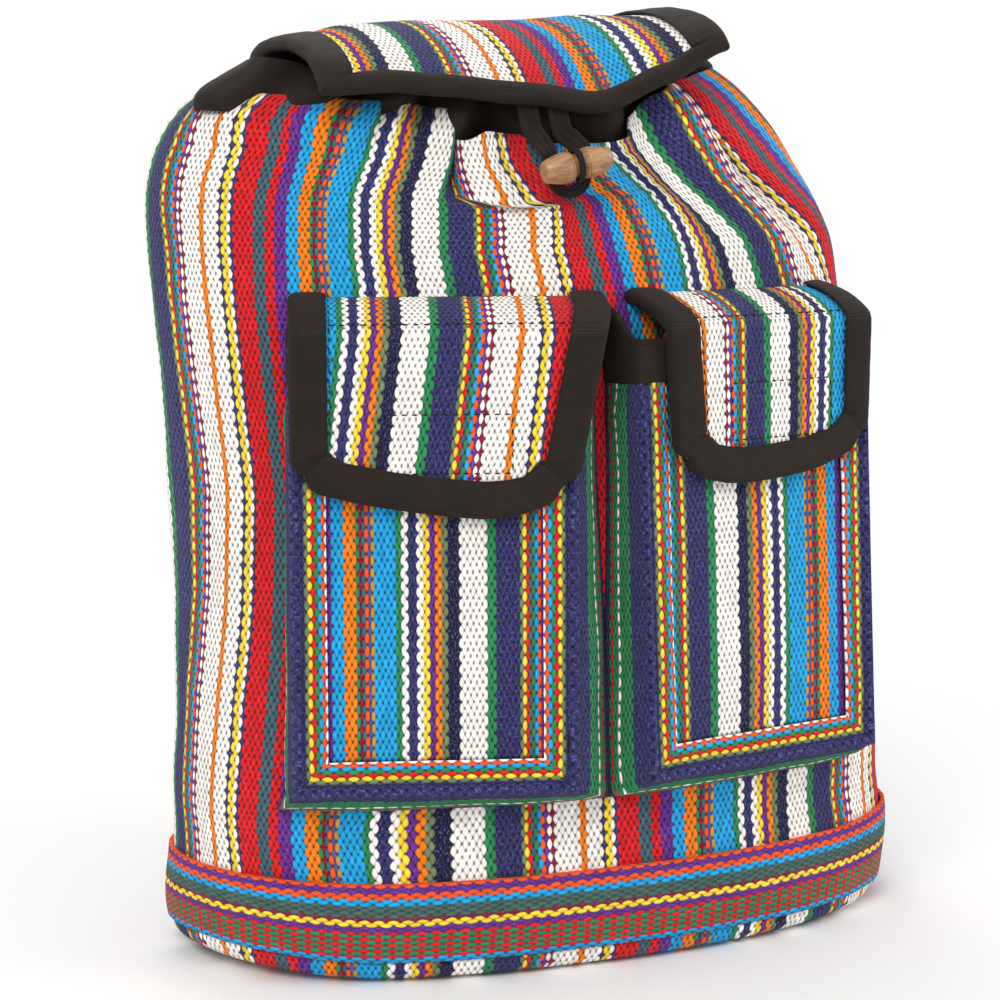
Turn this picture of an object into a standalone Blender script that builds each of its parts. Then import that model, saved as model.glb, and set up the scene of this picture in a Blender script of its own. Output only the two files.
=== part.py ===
"""A mini backpack of striped cotton, standing packed and closed.

The body is one cloth wrap with a back panel, a base and a band round its foot.
Its mouth is gathered into a dark channel, and a bound flap folds over it to a
wooden toggle. Two box pockets stand on the front, each with a bound flap, and
two shoulder straps hang behind. Metres, +Z up, front towards -Y.
"""
import math

import bmesh
import bpy
from mathutils import Vector

# Driving dimensions, in metres and degrees
GAP = 0.0003                 # air between pieces that touch
CLOTH = 0.0024               # cloth with its lining
CORNER_POWER = 2.34          # how square the body's cross-section is
SHIFT_X = -0.0036            # puts the middle of the width on the origin
SHIFT_Y = 0.0104             # puts the middle of the depth on the origin

# Body cross-sections: height, half width, centre, front depth, back depth
SECTIONS = (
    (0.000, 0.1540, 0.0035, 0.0815, 0.0600),
    (0.012, 0.1558, 0.0035, 0.0835, 0.0615),
    (0.045, 0.1552, 0.0050, 0.0825, 0.0635),
    (0.120, 0.1503, 0.0025, 0.0780, 0.0632),
    (0.200, 0.1470, -0.0035, 0.0725, 0.0600),
    (0.280, 0.1450, -0.0110, 0.0620, 0.0545),
    (0.315, 0.1350, -0.0205, 0.0525, 0.0500),
    (0.341, 0.1180, -0.0255, 0.0440, 0.0460),
    (0.357, 0.0930, -0.0235, 0.0290, 0.0370),
)
NECK_Z = 0.348               # where the cloth ends and the channel begins
RIM_Z = 0.358                # top of the channel
LEAN_FROM_Z = 0.265          # the top leans to the right and back from here up
LEAN_X = 0.050               # rise per metre to the right
LEAN_Y = 0.120               # rise per metre to the back
SAG_FRONT = 0.010            # how far the mouth droops in front
SAG_WIDTH = 0.070
GATHER_FROM_Z = 0.246        # folds start here and deepen up to the mouth
GATHER_DEPTH = 0.0046
GATHER_COUNT = 15
BACK_SHARE = 0.150           # half of the back panel, as a share of the girth
BODY_COLUMNS = 52
BACK_COLUMNS = 14

RIM_HEIGHT = 0.0095          # turned-up rim of the base
BASE_INSET = 0.013           # how far the flat of the base lies inside the rim
BAND_TOP = 0.0410            # foot band
BAND_THICK = 0.0018
BASE_COLUMNS = 36

POCKET_WIDTH = 0.112
POCKET_HEIGHT = 0.1685
POCKET_X = 0.0676            # middle of a pocket's face from the centre line
POCKET_Y = 0.0870            # how far in front its foot stands
POCKET_Z = 0.0790
POCKET_LEAN = 3.5
POCKET_YAW = {-1: 16.5, 1: 12.0}
FRAME_WIDTH = 0.0120         # strip round the pocket's face
FRAME_RISE = 0.0005
FLARE_SIDE = 0.0055          # the pocket's sides spread towards the body
FLARE_FOOT = 0.0080
MOUTH_TAPE = 0.0160
TAPE = 0.0009                # thickness of the dark tape

FLAP_TOP = 0.1860            # height of a pocket flap's seam up the face
FLAP_FRONT = 0.0048          # its middle lies this far before the face
FLAP_ROUND = 0.0120
FLAP_BEND = 0.030            # cloth taken by the bend over the mouth
FLAP_SPAN = {-1: (-0.0545, 0.0630, -0.0540, 0.0500),
             1: (-0.0480, 0.0550, -0.0490, 0.0505)}
FLAP_DROP = {-1: (0.0575, 0.0665, 0.0640), 1: (0.0560, 0.0640, 0.0500)}
BINDING_WIDTH = 0.0115
GRIP_LENGTH = 0.050          # press tapes under each pocket flap
GRIP_HEIGHT = 0.022
GRIP_FOOT = {-1: 0.1215, 1: 0.1290}  # its foot up the face

LID_LEFT = -0.1010           # top flap, from side to side
LID_RIGHT = 0.0630
LID_TILT = 0.045
LID_SAG = 0.0155             # its front edge hangs lowest here
LID_SAG_X = 0.008
LID_SAG_WIDTH = {-1: 0.068, 1: 0.036}
LID_DROOP = {-1: 0.0030, 1: 0.0045}  # its side edges lie lower than its middle
LID_DROOP_WIDTH = 0.034
# The top flap's path from its seam behind to its front edge: depth, height
LID_PATH = ((0.0545, 0.3270), (0.0535, 0.3420), (0.0510, 0.3550), (0.0440, 0.3655),
            (0.0320, 0.3705), (0.0150, 0.3715), (-0.0100, 0.3690), (-0.0300, 0.3630),
            (-0.0440, 0.3555), (-0.0525, 0.3475))

TOGGLE_LENGTH = 0.0280
TOGGLE_RADIUS = 0.0060
TOGGLE_WAIST = 0.0046
TOGGLE_AT = (-0.0060, -0.0680, 0.3140)
TOGGLE_TILT = 12.0
TIE_RADIUS = 0.0009
LOOP_WIDTH = 0.0048
LOOP_THICK = 0.0018

STRAP_WIDTH = 0.046
STRAP_THICK = 0.0080
STRAP_END = 0.0040
WEB_WIDTH = 0.0250
WEB_THICK = 0.0016
BUCKLE_WIDTH = 0.0330
BUCKLE_PITCH = 0.0095
BAR = 0.0030
HAUL_DROP = 0.036
HAUL_WIDTH = 0.060

ROOT = None


def material(name, colour, roughness, metallic=0.0):
    """A plain Principled material."""
    made = bpy.data.materials.get(name) or bpy.data.materials.new(name)
    made.use_nodes = True
    shader = made.node_tree.nodes["Principled BSDF"]
    shader.inputs["Base Color"].default_value = (*colour, 1.0)
    shader.inputs["Roughness"].default_value = roughness
    shader.inputs["Metallic"].default_value = metallic
    return made


def finish_object(name, bm, mat, smooth=40.0, location=(0.0, 0.0, 0.0)):
    """Turns a bmesh into a named object that hangs from the root empty."""
    bm.normal_update()
    bmesh.ops.recalc_face_normals(bm, faces=bm.faces)
    mesh = bpy.data.meshes.new(name)
    bm.to_mesh(mesh)
    bm.free()
    mesh.shade_smooth()
    mesh.set_sharp_from_angle(angle=math.radians(smooth))
    mesh.materials.append(mat)
    obj = bpy.data.objects.new(name, mesh)
    bpy.context.scene.collection.objects.link(obj)
    obj.parent = ROOT
    obj.location = location
    return obj


def smooth_step(t):
    t = min(max(t, 0.0), 1.0)
    return t * t * (3.0 - 2.0 * t)


def through(points, u):
    """Reads a smooth curve through the given rows at u from 0 to 1."""
    count = len(points) - 1
    t = min(max(u, 0.0), 1.0) * count
    i = min(int(t), count - 1)
    t -= i
    rows = [points[max(i - 1, 0)], points[i], points[i + 1], points[min(i + 2, count)]]
    out = []
    for a, b, c, d in zip(*rows):
        out.append(0.5 * (2 * b + (c - a) * t + (2 * a - 5 * b + 4 * c - d) * t * t
                          + (3 * b - a - 3 * c + d) * t ** 3))
    return out


def section(z):
    """Half width, centre, front depth and back depth of the body at a height."""
    rows = SECTIONS
    i = 0
    while i < len(rows) - 2 and z > rows[i + 1][0]:
        i += 1
    z0, z1 = rows[i][0], rows[i + 1][0]
    span = z1 - z0
    t = (z - z0) / span
    before, after = rows[max(i - 1, 0)], rows[min(i + 2, len(rows) - 1)]
    out = []
    for k in range(1, 5):
        p0, p1 = rows[i][k], rows[i + 1][k]
        m0 = (p1 - before[k]) / max(z1 - before[0], 1e-6) * span
        m1 = (after[k] - p0) / max(after[0] - z0, 1e-6) * span
        t2, t3 = t * t, t ** 3
        out.append((2 * t3 - 3 * t2 + 1) * p0 + (t3 - 2 * t2 + t) * m0
                   + (3 * t2 - 2 * t3) * p1 + (t3 - t2) * m1)
    return out


RINGS = {}


def ring(z):
    """One cross-section as points, outward directions and running lengths.

    It starts behind in the middle and runs by the left side to the front.
    """
    key = round(z, 6)
    if key in RINGS:
        return RINGS[key]
    a, c, f, k = section(z)
    n = 2.0 / CORNER_POWER
    count = 480
    points, turned = [], []
    for i in range(count + 1):
        t = math.radians(90.0 + 360.0 * i / count)
        cx, sy = math.cos(t), math.sin(t)
        deep = k if sy > 0 else f
        points.append((c + a * math.copysign(abs(cx) ** n, cx),
                       deep * math.copysign(abs(sy) ** n, sy)))
    run = [0.0]
    for p, q in zip(points, points[1:]):
        run.append(run[-1] + math.hypot(q[0] - p[0], q[1] - p[1]))
    for i in range(count + 1):
        p, q = points[(i - 3) % count], points[(i + 3) % count]
        d = math.hypot(q[0] - p[0], q[1] - p[1])
        turned.append(((q[1] - p[1]) / d, (p[0] - q[0]) / d))
    RINGS[key] = (points, turned, run)
    return RINGS[key]


def gather(share, z):
    """Depth of the folds at a share of the girth and a height."""
    rise = smooth_step((z - GATHER_FROM_Z) / (NECK_Z - GATHER_FROM_Z)) ** 1.4
    side = abs((share % 1.0) - 0.5)
    weight = smooth_step((0.5 - BACK_SHARE - side) / 0.06)
    phase = GATHER_COUNT * share + 0.30 * math.sin(4 * math.pi * share + 0.7)
    wave = math.cos(2 * math.pi * phase) + 0.35 * math.cos(2 * math.pi * (2.0 * share + 0.2))
    return GATHER_DEPTH * rise * weight * wave


def lean(z, x, y):
    """Height after the top's lean and the droop of its front."""
    weight = smooth_step((z - LEAN_FROM_Z) / (NECK_Z - LEAN_FROM_Z))
    front = max(0.0, -y) / 0.045 * math.exp(-((x + 0.018) / SAG_WIDTH) ** 2)
    return z + weight * (LEAN_X * x + LEAN_Y * y - SAG_FRONT * min(front, 1.2))


def body_point(share, z, out=0.0):
    """A point on the body at a share of the girth, a height and an offset outwards."""
    points, turned, run = ring(z)
    share = share % 1.0
    goal = share * run[-1]
    lo, hi = 0, len(run) - 1
    while hi - lo > 1:
        mid = (lo + hi) // 2
        if run[mid] <= goal:
            lo = mid
        else:
            hi = mid
    t = (goal - run[lo]) / max(run[hi] - run[lo], 1e-9)
    x = points[lo][0] + t * (points[hi][0] - points[lo][0])
    y = points[lo][1] + t * (points[hi][1] - points[lo][1])
    nx = turned[lo][0] + t * (turned[hi][0] - turned[lo][0])
    ny = turned[lo][1] + t * (turned[hi][1] - turned[lo][1])
    size = math.hypot(nx, ny)
    far = out + gather(share, z)
    return Vector((x + nx / size * far, y + ny / size * far, lean(z, x, y)))


def face_depth(x, z, back=False):
    """How far in front, or behind, the body's face lies at x and z, without folds."""
    a, c, f, k = section(z)
    inner = 1.0 - min(abs(x - c) / a, 1.0) ** CORNER_POWER
    return (k if back else f) * inner ** (1.0 / CORNER_POWER)


def slab(name, front, back, mat, closed=False, smooth=50.0):
    """A closed solid between two matching grids of points."""
    bm = bmesh.new()
    rows, cols = len(front), len(front[0])
    skins = [[[bm.verts.new(p) for p in row] for row in skin] for skin in (front, back)]
    last = cols if closed else cols - 1
    for k, skin in enumerate(skins):
        for r in range(rows - 1):
            for c in range(last):
                d = (c + 1) % cols
                quad = [skin[r][c], skin[r][d], skin[r + 1][d], skin[r + 1][c]]
                bm.faces.new(quad if k == 0 else quad[::-1])
    for c in range(last):
        d = (c + 1) % cols
        bm.faces.new([skins[1][0][c], skins[1][0][d], skins[0][0][d], skins[0][0][c]])
        bm.faces.new([skins[0][-1][c], skins[0][-1][d], skins[1][-1][d], skins[1][-1][c]])
    if not closed:
        for r in range(rows - 1):
            bm.faces.new([skins[0][r][0], skins[0][r + 1][0], skins[1][r + 1][0], skins[1][r][0]])
            bm.faces.new([skins[1][r][-1], skins[1][r + 1][-1], skins[0][r + 1][-1], skins[0][r][-1]])
    return finish_object(name, bm, mat, smooth)


def tube_of(name, rings, mat, smooth=50.0, closed=False):
    """A closed solid through matching outlines, with flat ends unless it closes on itself."""
    bm = bmesh.new()
    loops = [[bm.verts.new(p) for p in outline] for outline in rings]
    size = len(loops[0])
    pairs = list(zip(loops, loops[1:]))
    if closed:
        pairs.append((loops[-1], loops[0]))
    for low, high in pairs:
        for i in range(size):
            j = (i + 1) % size
            bm.faces.new([low[i], low[j], high[j], high[i]])
    if not closed:
        bm.faces.new(loops[0][::-1])
        bm.faces.new(loops[-1])
    return finish_object(name, bm, mat, smooth)


def frames_along(path, side):
    """Origin, width direction and outward direction at each point of a path."""
    out = []
    for i, p in enumerate(path):
        a, b = path[max(i - 1, 0)], path[min(i + 1, len(path) - 1)]
        along = (Vector(b) - Vector(a)).normalized()
        across = (side - along * side.dot(along)).normalized()
        out.append((Vector(p), across, across.cross(along)))
    return out


def ribbon(name, path, width, thick, mat, side=Vector((1, 0, 0)), edge=0.0):
    """A flat tape along a path, with softened edges when edge is more than nothing."""
    rings = []
    for i, (p, across, out) in enumerate(frames_along(path, side)):
        w = (width[i] if isinstance(width, (list, tuple)) else width) / 2
        t = (thick[i] if isinstance(thick, (list, tuple)) else thick) / 2
        e = min(edge, 0.6 * t) if edge else 0.0
        if edge:
            ring_2d = [(-w, -t + e), (-w + edge, -t), (w - edge, -t), (w, -t + e),
                       (w, t - e), (w - edge, t), (-w + edge, t), (-w, t - e)]
        else:
            ring_2d = [(-w, -t), (w, -t), (w, t), (-w, t)]
        rings.append([p + across * a + out * b for a, b in ring_2d])
    return tube_of(name, rings, mat)


# Body


def body_levels(low, high, count, power=1.0):
    return [low + (high - low) * (i / count) ** power for i in range(count + 1)]


def wrap_shares():
    seam = 0.5 * GAP / 0.70
    start, end = BACK_SHARE + seam, 1.0 - BACK_SHARE - seam
    return [start + (end - start) * i / BODY_COLUMNS for i in range(BODY_COLUMNS + 1)]


def back_shares():
    seam = 0.5 * GAP / 0.70
    start, end = -BACK_SHARE + seam, BACK_SHARE - seam
    return [start + (end - start) * i / BACK_COLUMNS for i in range(BACK_COLUMNS + 1)]


def make_body(cloth, dark):
    """Wrap, back panel, gathered channel, band and base."""
    low = RIM_HEIGHT + GAP
    levels = ([low, (low + BAND_TOP) / 2, BAND_TOP, 0.060, 0.080, 0.125, 0.175, 0.215]
              + body_levels(GATHER_FROM_Z + 0.008, NECK_Z, 6, 0.9))

    def wall(name, shares, mat):
        outer = [[body_point(s, z) for s in shares] for z in levels]
        inner = [[body_point(s, z, -CLOTH) for s in shares] for z in levels]
        slab(name, outer, inner, mat)

    wall("body_wrap", wrap_shares(), cloth)
    wall("back_panel", back_shares(), cloth)

    shares = [i / 60 for i in range(60)]
    heights = body_levels(NECK_Z + GAP, RIM_Z, 3)
    outer = [[body_point(s, z, 0.0004 + 0.0006 * math.sin(44 * math.pi * s))
              for s in shares] for z in heights]
    inner = [[body_point(s, z, -CLOTH) for s in shares] for z in heights]
    slab("neck_channel", outer, inner, dark, closed=True)


def make_foot(cloth):
    """The band round the foot and the base with its turned-up rim."""
    shares = wrap_shares() + back_shares()
    heights = body_levels(RIM_HEIGHT + GAP, BAND_TOP, 2)
    outer = [[body_point(s, z, GAP + BAND_THICK) for s in shares] for z in heights]
    inner = [[body_point(s, z, GAP) for s in shares] for z in heights]
    slab("base_band", outer, inner, cloth, closed=True)
    shares = [i / BASE_COLUMNS for i in range(BASE_COLUMNS)]

    steps = ((BASE_INSET, 0.0), (0.0050, 0.0014), (0.0008, 0.0046), (-0.0006, RIM_HEIGHT))
    bm = bmesh.new()

    def loop(inset, z):
        return [bm.verts.new((p.x, p.y, z)) for p in
                (body_point(s, 0.010, -inset) for s in shares)]

    outside = [loop(inset, z) for inset, z in steps]
    inside = [loop(inset + CLOTH, max(z, CLOTH)) for inset, z in steps[:0:-1]]
    loops = outside + inside + [loop(BASE_INSET + 0.010, CLOTH)]
    for one, two in zip(loops, loops[1:]):
        for i in range(BASE_COLUMNS):
            j = (i + 1) % BASE_COLUMNS
            bm.faces.new([one[i], one[j], two[j], two[i]])
    bm.faces.new(loops[0][::-1])
    bm.faces.new(loops[-1])
    finish_object("base_panel", bm, cloth)


# Pockets


class Pocket:
    """A pocket's own frame: along the face, up the face and out of it."""

    def __init__(self, side):
        self.side = side
        self.name = "left" if side < 0 else "right"
        yaw = math.radians(POCKET_YAW[side])
        tip = math.radians(POCKET_LEAN)
        self.foot = Vector((side * POCKET_X, -POCKET_Y, POCKET_Z))
        self.along = Vector((math.cos(yaw), side * math.sin(yaw), 0.0))
        out = Vector((side * math.sin(yaw), -math.cos(yaw), 0.0))
        up = Vector((0.0, 0.0, 1.0))
        self.up = up * math.cos(tip) - out * math.sin(tip)
        self.out = out * math.cos(tip) + up * math.sin(tip)

    def at(self, x, y, h=0.0):
        return self.foot + self.along * x + self.up * y + self.out * h

    def depth(self, x, y):
        """Distance from the face back to the body at a point of the face."""
        low, high = -0.030, 0.090
        for _ in range(30):
            mid = (low + high) / 2
            p = self.at(x, y, -mid)
            if -p.y > face_depth(p.x, p.z):
                low = mid
            else:
                high = mid
        return low


def mitred(path):
    """Outward directions of a 2D path, lengthened at its corners."""
    out = []
    for i, p in enumerate(path):
        normals = []
        for a, b in ((i - 1, i), (i, i + 1)):
            if 0 <= a and b < len(path):
                dx, dy = path[b][0] - path[a][0], path[b][1] - path[a][1]
                d = math.hypot(dx, dy)
                normals.append((dy / d, -dx / d))
        nx = sum(n[0] for n in normals) / len(normals)
        ny = sum(n[1] for n in normals) / len(normals)
        size = nx * nx + ny * ny
        out.append((nx / size, ny / size))
    return out


def make_gusset(pocket, cloth):
    """The folded strip that frames the face and runs back to the body."""
    w, top = POCKET_WIDTH / 2, POCKET_HEIGHT
    straight = top - MOUTH_TAPE - 0.002
    side = [top] + [straight * (1 - i / 5) for i in range(6)]
    path = [(-w, y) for y in side] + [(-w + 2 * w * i / 6, 0.0) for i in range(1, 6)]
    path += [(w, y) for y in side[::-1]]
    turned = mitred(path)
    outer, inner = [], []
    for (x, y), (nx, ny) in zip(path, turned):
        foot = smooth_step(1.0 - y / straight)
        flare_x, flare_y = FLARE_SIDE * foot, FLARE_FOOT
        fx = nx * flare_x
        fy = ny * flare_y

        def back(px, py, margin):
            return -pocket.depth(px, py) + margin

        ox, oy = x + fx, y + fy
        ix, iy = x + fx - nx * CLOTH, y + fy - ny * CLOTH
        d_out, d_in = back(ox, oy, 0.0010), back(ix, iy, 0.0010)
        rim = ((FRAME_WIDTH, 0.0), (0.0030, FRAME_RISE), (0.0006, FRAME_RISE), (0.0, -0.0008))
        out_row = [pocket.at(x - nx * o, y - ny * o, h) for o, h in rim]
        out_row.append(pocket.at(x + fx * 0.45, y + fy * 0.45, d_out * 0.55))
        out_row.append(pocket.at(ox, oy, d_out))
        in_row = [pocket.at(x - nx * (o if o > 0.01 else CLOTH + o), y - ny *
                            (o if o > 0.01 else CLOTH + o), h - CLOTH) for o, h in rim]
        in_row.append(pocket.at(x + fx * 0.45 - nx * CLOTH, y + fy * 0.45 - ny * CLOTH,
                                d_out * 0.55))
        in_row.append(pocket.at(ix, iy, max(d_in, d_out * 0.9)))
        outer.append(out_row)
        inner.append(in_row)
    slab(pocket.name + "_pocket_gusset", outer, inner, cloth, smooth=35.0)


def make_pocket_front(pocket, cloth):
    """The flat panel inside the frame."""
    w = POCKET_WIDTH / 2 - FRAME_WIDTH - GAP
    low, high = FRAME_WIDTH + GAP, POCKET_HEIGHT
    xs = [-w + 2 * w * i / 4 for i in range(5)]
    ys = [low + (high - low) * i / 4 for i in range(5)]
    front = [[pocket.at(x, y, 0.0) for x in xs] for y in ys]
    back = [[pocket.at(x, y, -CLOTH) for x in xs] for y in ys]
    slab(pocket.name + "_pocket_front", front, back, cloth)


def make_mouth_tape(pocket, dark):
    """Dark tape folded over the pocket's mouth, from body to body."""
    w, top = POCKET_WIDTH / 2, POCKET_HEIGHT
    low = top - MOUTH_TAPE
    g, b = GAP, TAPE

    def end(side):
        reach = []
        for o in (g + b, -CLOTH - g - b):
            for y in (low, top + g + b):
                reach.append(pocket.depth(side * (w + o), y))
        return -min(reach) + 0.0006

    left, right = end(-1), end(1)
    path = [(-w, left), (-w, left * 0.5), (-w, 0.0), (-w * 0.33, 0.0), (w * 0.33, 0.0),
            (w, 0.0), (w, right * 0.5), (w, right)]
    turned = mitred(path)
    rise = FRAME_RISE
    rings = []
    for (x, h), (nx, nh) in zip(path, turned):
        nx, nh = -nx, -nh
        face = rise if abs(nh) > 0.5 else 0.0
        outline = []
        for o, y in ((g, low), (g + b, low), (g + b, top + g + b), (-CLOTH - g - b, top + g + b),
                     (-CLOTH - g - b, low + 0.006), (-CLOTH - g, low + 0.006),
                     (-CLOTH - g, top + g), (g, top + g)):
            outline.append(pocket.at(x + nx * o, y, h + nh * o + (face if o > 0 else 0.0)))
        rings.append(outline)
    tube_of(pocket.name + "_pocket_mouth_tape", rings, dark, smooth=35.0)


def flap_surface(pocket):
    """The pocket flap's middle surface: forward from the body, then down the face."""
    seam_half = CLOTH / 2 + GAP + TAPE

    def place(x, run, h=0.0):
        """x across, run down the cloth from the bend (above it when negative), h outwards."""
        start = -min(pocket.depth(x, FLAP_TOP - seam_half), pocket.depth(x, FLAP_TOP + seam_half),
                     pocket.depth(x + 0.003, FLAP_TOP), pocket.depth(x - 0.003, FLAP_TOP)) + 0.0006
        deep = FLAP_FRONT - start
        if run < 0.0:
            t = math.pi / 2 * (1.0 + run / FLAP_BEND)
            y = FLAP_TOP - FLAP_ROUND * (1 - math.cos(t))
            out = start + deep * math.sin(t)
            ny, nh = deep * math.cos(t), FLAP_ROUND * math.sin(t)
        else:
            y = FLAP_TOP - FLAP_ROUND - run
            out, ny, nh = FLAP_FRONT, 0.0, 1.0
        size = math.hypot(ny, nh)
        return pocket.at(x, y + h * ny / size, out + h * nh / size)

    return place


def flap_outline(pocket):
    """Left and right edge at a height of the flap, and the drop at x."""
    tl, tr, bl, br = FLAP_SPAN[pocket.side]
    d0, d1, d2 = FLAP_DROP[pocket.side]

    def drop(x):
        t = (x - bl) / (br - bl) * 2 - 1
        return d1 + (d2 - d0) / 2 * t + ((d0 + d2) / 2 - d1) * t * t

    return tl, tr, bl, br, drop


def make_pocket_flap(pocket, cloth, dark):
    """Woven flap with dark tape folded over its side and foot edges."""
    place = flap_surface(pocket)
    tl, tr, bl, br, drop = flap_outline(pocket)
    vs = [-1.0, -0.8, -0.6, -0.4, -0.2, 0.0, 0.25, 0.5, 0.75, 1.0]

    def edge(v, top, low):
        t = smooth_step((FLAP_BEND * v + 0.012) / 0.050) if v < 0 else \
            smooth_step((0.060 * v + 0.012) / 0.050)
        return top + (low - top) * t

    flat = []
    for v in vs:
        xl, xr = edge(v, tl, bl), edge(v, tr, br)
        inner = [xl + BINDING_WIDTH + (xr - xl - 2 * BINDING_WIDTH) * i / 6 for i in range(7)]
        row = [xl] + inner + [xr]
        flat.append([(x, FLAP_BEND * v if v < 0 else drop(x) * v) for x in row])
    cols = len(flat[0]) - 1
    front = [[place(x, r, CLOTH / 2) for x, r in row] for row in flat]
    back = [[place(x, r, -CLOTH / 2) for x, r in row] for row in flat]
    slab(pocket.name + "_pocket_flap", front, back, cloth)

    path = [row[0] for row in flat] + flat[-1][1:-1] + [row[-1] for row in flat[::-1]]
    turned = mitred(path)
    bend_low, bend_high = len(flat) - 1, len(flat) - 1 + cols
    rings = []
    g, b, half = 1.4 * GAP, TAPE, CLOTH / 2
    wide = BINDING_WIDTH
    for i, ((x, r), (nx, ny)) in enumerate(zip(path, turned)):
        nx, ny = -nx, ny
        if i in (0, len(path) - 1):
            nx, ny = (-1.0 if i == 0 else 1.0), 0.0
        else:
            size = math.hypot(nx, ny)
            limit = min(size, 1.5)
            nx, ny = nx / size * limit, ny / size * limit
        inx, iny = -nx, -ny
        if i < bend_low and i > 0:
            inx, iny = 1.0, 0.0
        if i > bend_high and i < len(path) - 1:
            inx, iny = -1.0, 0.0
        if bend_low < i < bend_high:
            inx, iny = 0.0, -1.0
        if i in (bend_low, bend_high):
            inx, iny = (1.0 if i == bend_low else -1.0), -1.0
        outline = []
        for d, h in ((wide, half + g), (wide, half + g + b), (-g, half + g + b),
                     (-g - b, half), (-g - b, -half), (-g, -half - g - b),
                     (wide, -half - g - b), (wide, -half - g), (-g, -half - g),
                     (-g, half + g)):
            outline.append(place(x + inx * d, r + iny * d, h))
        rings.append(outline)
    tube_of(pocket.name + "_pocket_flap_binding", rings, dark, smooth=35.0)


def make_grip(pocket, dark):
    """The two press tapes that hold a flap down, one on the flap and one on the face."""
    y = GRIP_FOOT[pocket.side]
    span = FLAP_SPAN[pocket.side]
    middle = (span[2] + span[3]) / 2 + 0.004
    high = FLAP_FRONT - CLOTH / 2
    thick = (high - 3 * GAP) / 2
    for part in ("loop_tape", "hook_tape"):
        xs = [middle - GRIP_LENGTH / 2, middle, middle + GRIP_LENGTH / 2]
        ys = [y, y + GRIP_HEIGHT]
        base = GAP if part == "loop_tape" else high - GAP - thick
        front = [[pocket.at(x, v, base + thick) for x in xs] for v in ys]
        back = [[pocket.at(x, v, base) for x in xs] for v in ys]
        slab(f"{pocket.name}_pocket_{part}", front, back, dark)


# Top flap, loop and toggle


def lid_surface(x, v, h=0.0):
    """The top flap's middle surface: x across, v from its seam behind to its front edge."""
    def middle(x, v):
        y, z = through(LID_PATH, v)
        z += LID_TILT * x
        low = smooth_step((0.42 - v) / 0.34)
        seat = back_y(x, min(z, 0.352)) + CLOTH / 2 + TAPE + 2.2 * GAP
        seat += 0.0010 * smooth_step(v / 0.10)
        y += (seat - y) * low
        front = smooth_step((v - 0.45) / 0.55)
        wide = LID_SAG_WIDTH[-1 if x < LID_SAG_X else 1]
        z -= LID_SAG * front * math.exp(-((x - LID_SAG_X) / wide) ** 2)
        droop = LID_DROOP[-1] * smooth_step((LID_LEFT + LID_DROOP_WIDTH - x) / LID_DROOP_WIDTH)
        droop += LID_DROOP[1] * smooth_step((x - LID_RIGHT + LID_DROOP_WIDTH) / LID_DROOP_WIDTH)
        return Vector((x, y, z - droop * smooth_step((v - 0.10) / 0.25)))

    e = 0.001
    p = middle(x, v)
    if h == 0.0:
        return p
    dx = middle(x + e, v) - middle(x - e, v)
    dv = middle(x, min(v + e, 1.0)) - middle(x, max(v - e, 0.0))
    return p + dx.cross(dv).normalized() * -h


def lid_length():
    points = [lid_surface(0.0, i / 60) for i in range(61)]
    return sum((b - a).length for a, b in zip(points, points[1:]))


def make_lid(cloth, dark):
    """The top flap and the tape folded over its sides and front."""
    share = BINDING_WIDTH / (LID_RIGHT - LID_LEFT)
    us = [0.0] + [share + (1 - 2 * share) * i / 8 for i in range(9)] + [1.0]
    vs = [i / 13 for i in range(14)]
    flat = [[(LID_LEFT + (LID_RIGHT - LID_LEFT) * u, v) for u in us] for v in vs]
    front = [[lid_surface(x, v, CLOTH / 2) for x, v in row] for row in flat]
    back = [[lid_surface(x, v, -CLOTH / 2) for x, v in row] for row in flat]
    slab("top_flap", front, back, cloth)

    length = lid_length()
    path = [row[0] for row in flat] + flat[-1][1:-1] + [row[-1] for row in flat[::-1]]
    g, b, half, wide = GAP, TAPE, CLOTH / 2, BINDING_WIDTH
    corner_a, corner_b = len(flat) - 1, len(flat) - 1 + len(us) - 1
    rings = []
    for i, (x, v) in enumerate(path):
        inx = 1.0 if i <= corner_a else (-1.0 if i >= corner_b else 0.0)
        inv = -1.0 if corner_a <= i <= corner_b else 0.0
        outline = []
        for d, h in ((wide, half + g), (wide, half + g + b), (-g, half + g + b),
                     (-g - b, half), (-g - b, -half), (-g, -half - g - b),
                     (wide, -half - g - b), (wide, -half - g), (-g, -half - g),
                     (-g, half + g)):
            vv = v + inv * d / length
            extra = max(vv - 1.0, 0.0)
            p = lid_surface(x + inx * d, min(vv, 1.0), h)
            if extra:
                tip = lid_surface(x, 1.0) - lid_surface(x, 0.985)
                p = p + tip.normalized() * extra * length
            outline.append(p)
        rings.append(outline)
    tube_of("top_flap_binding", rings, dark, smooth=35.0)


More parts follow.
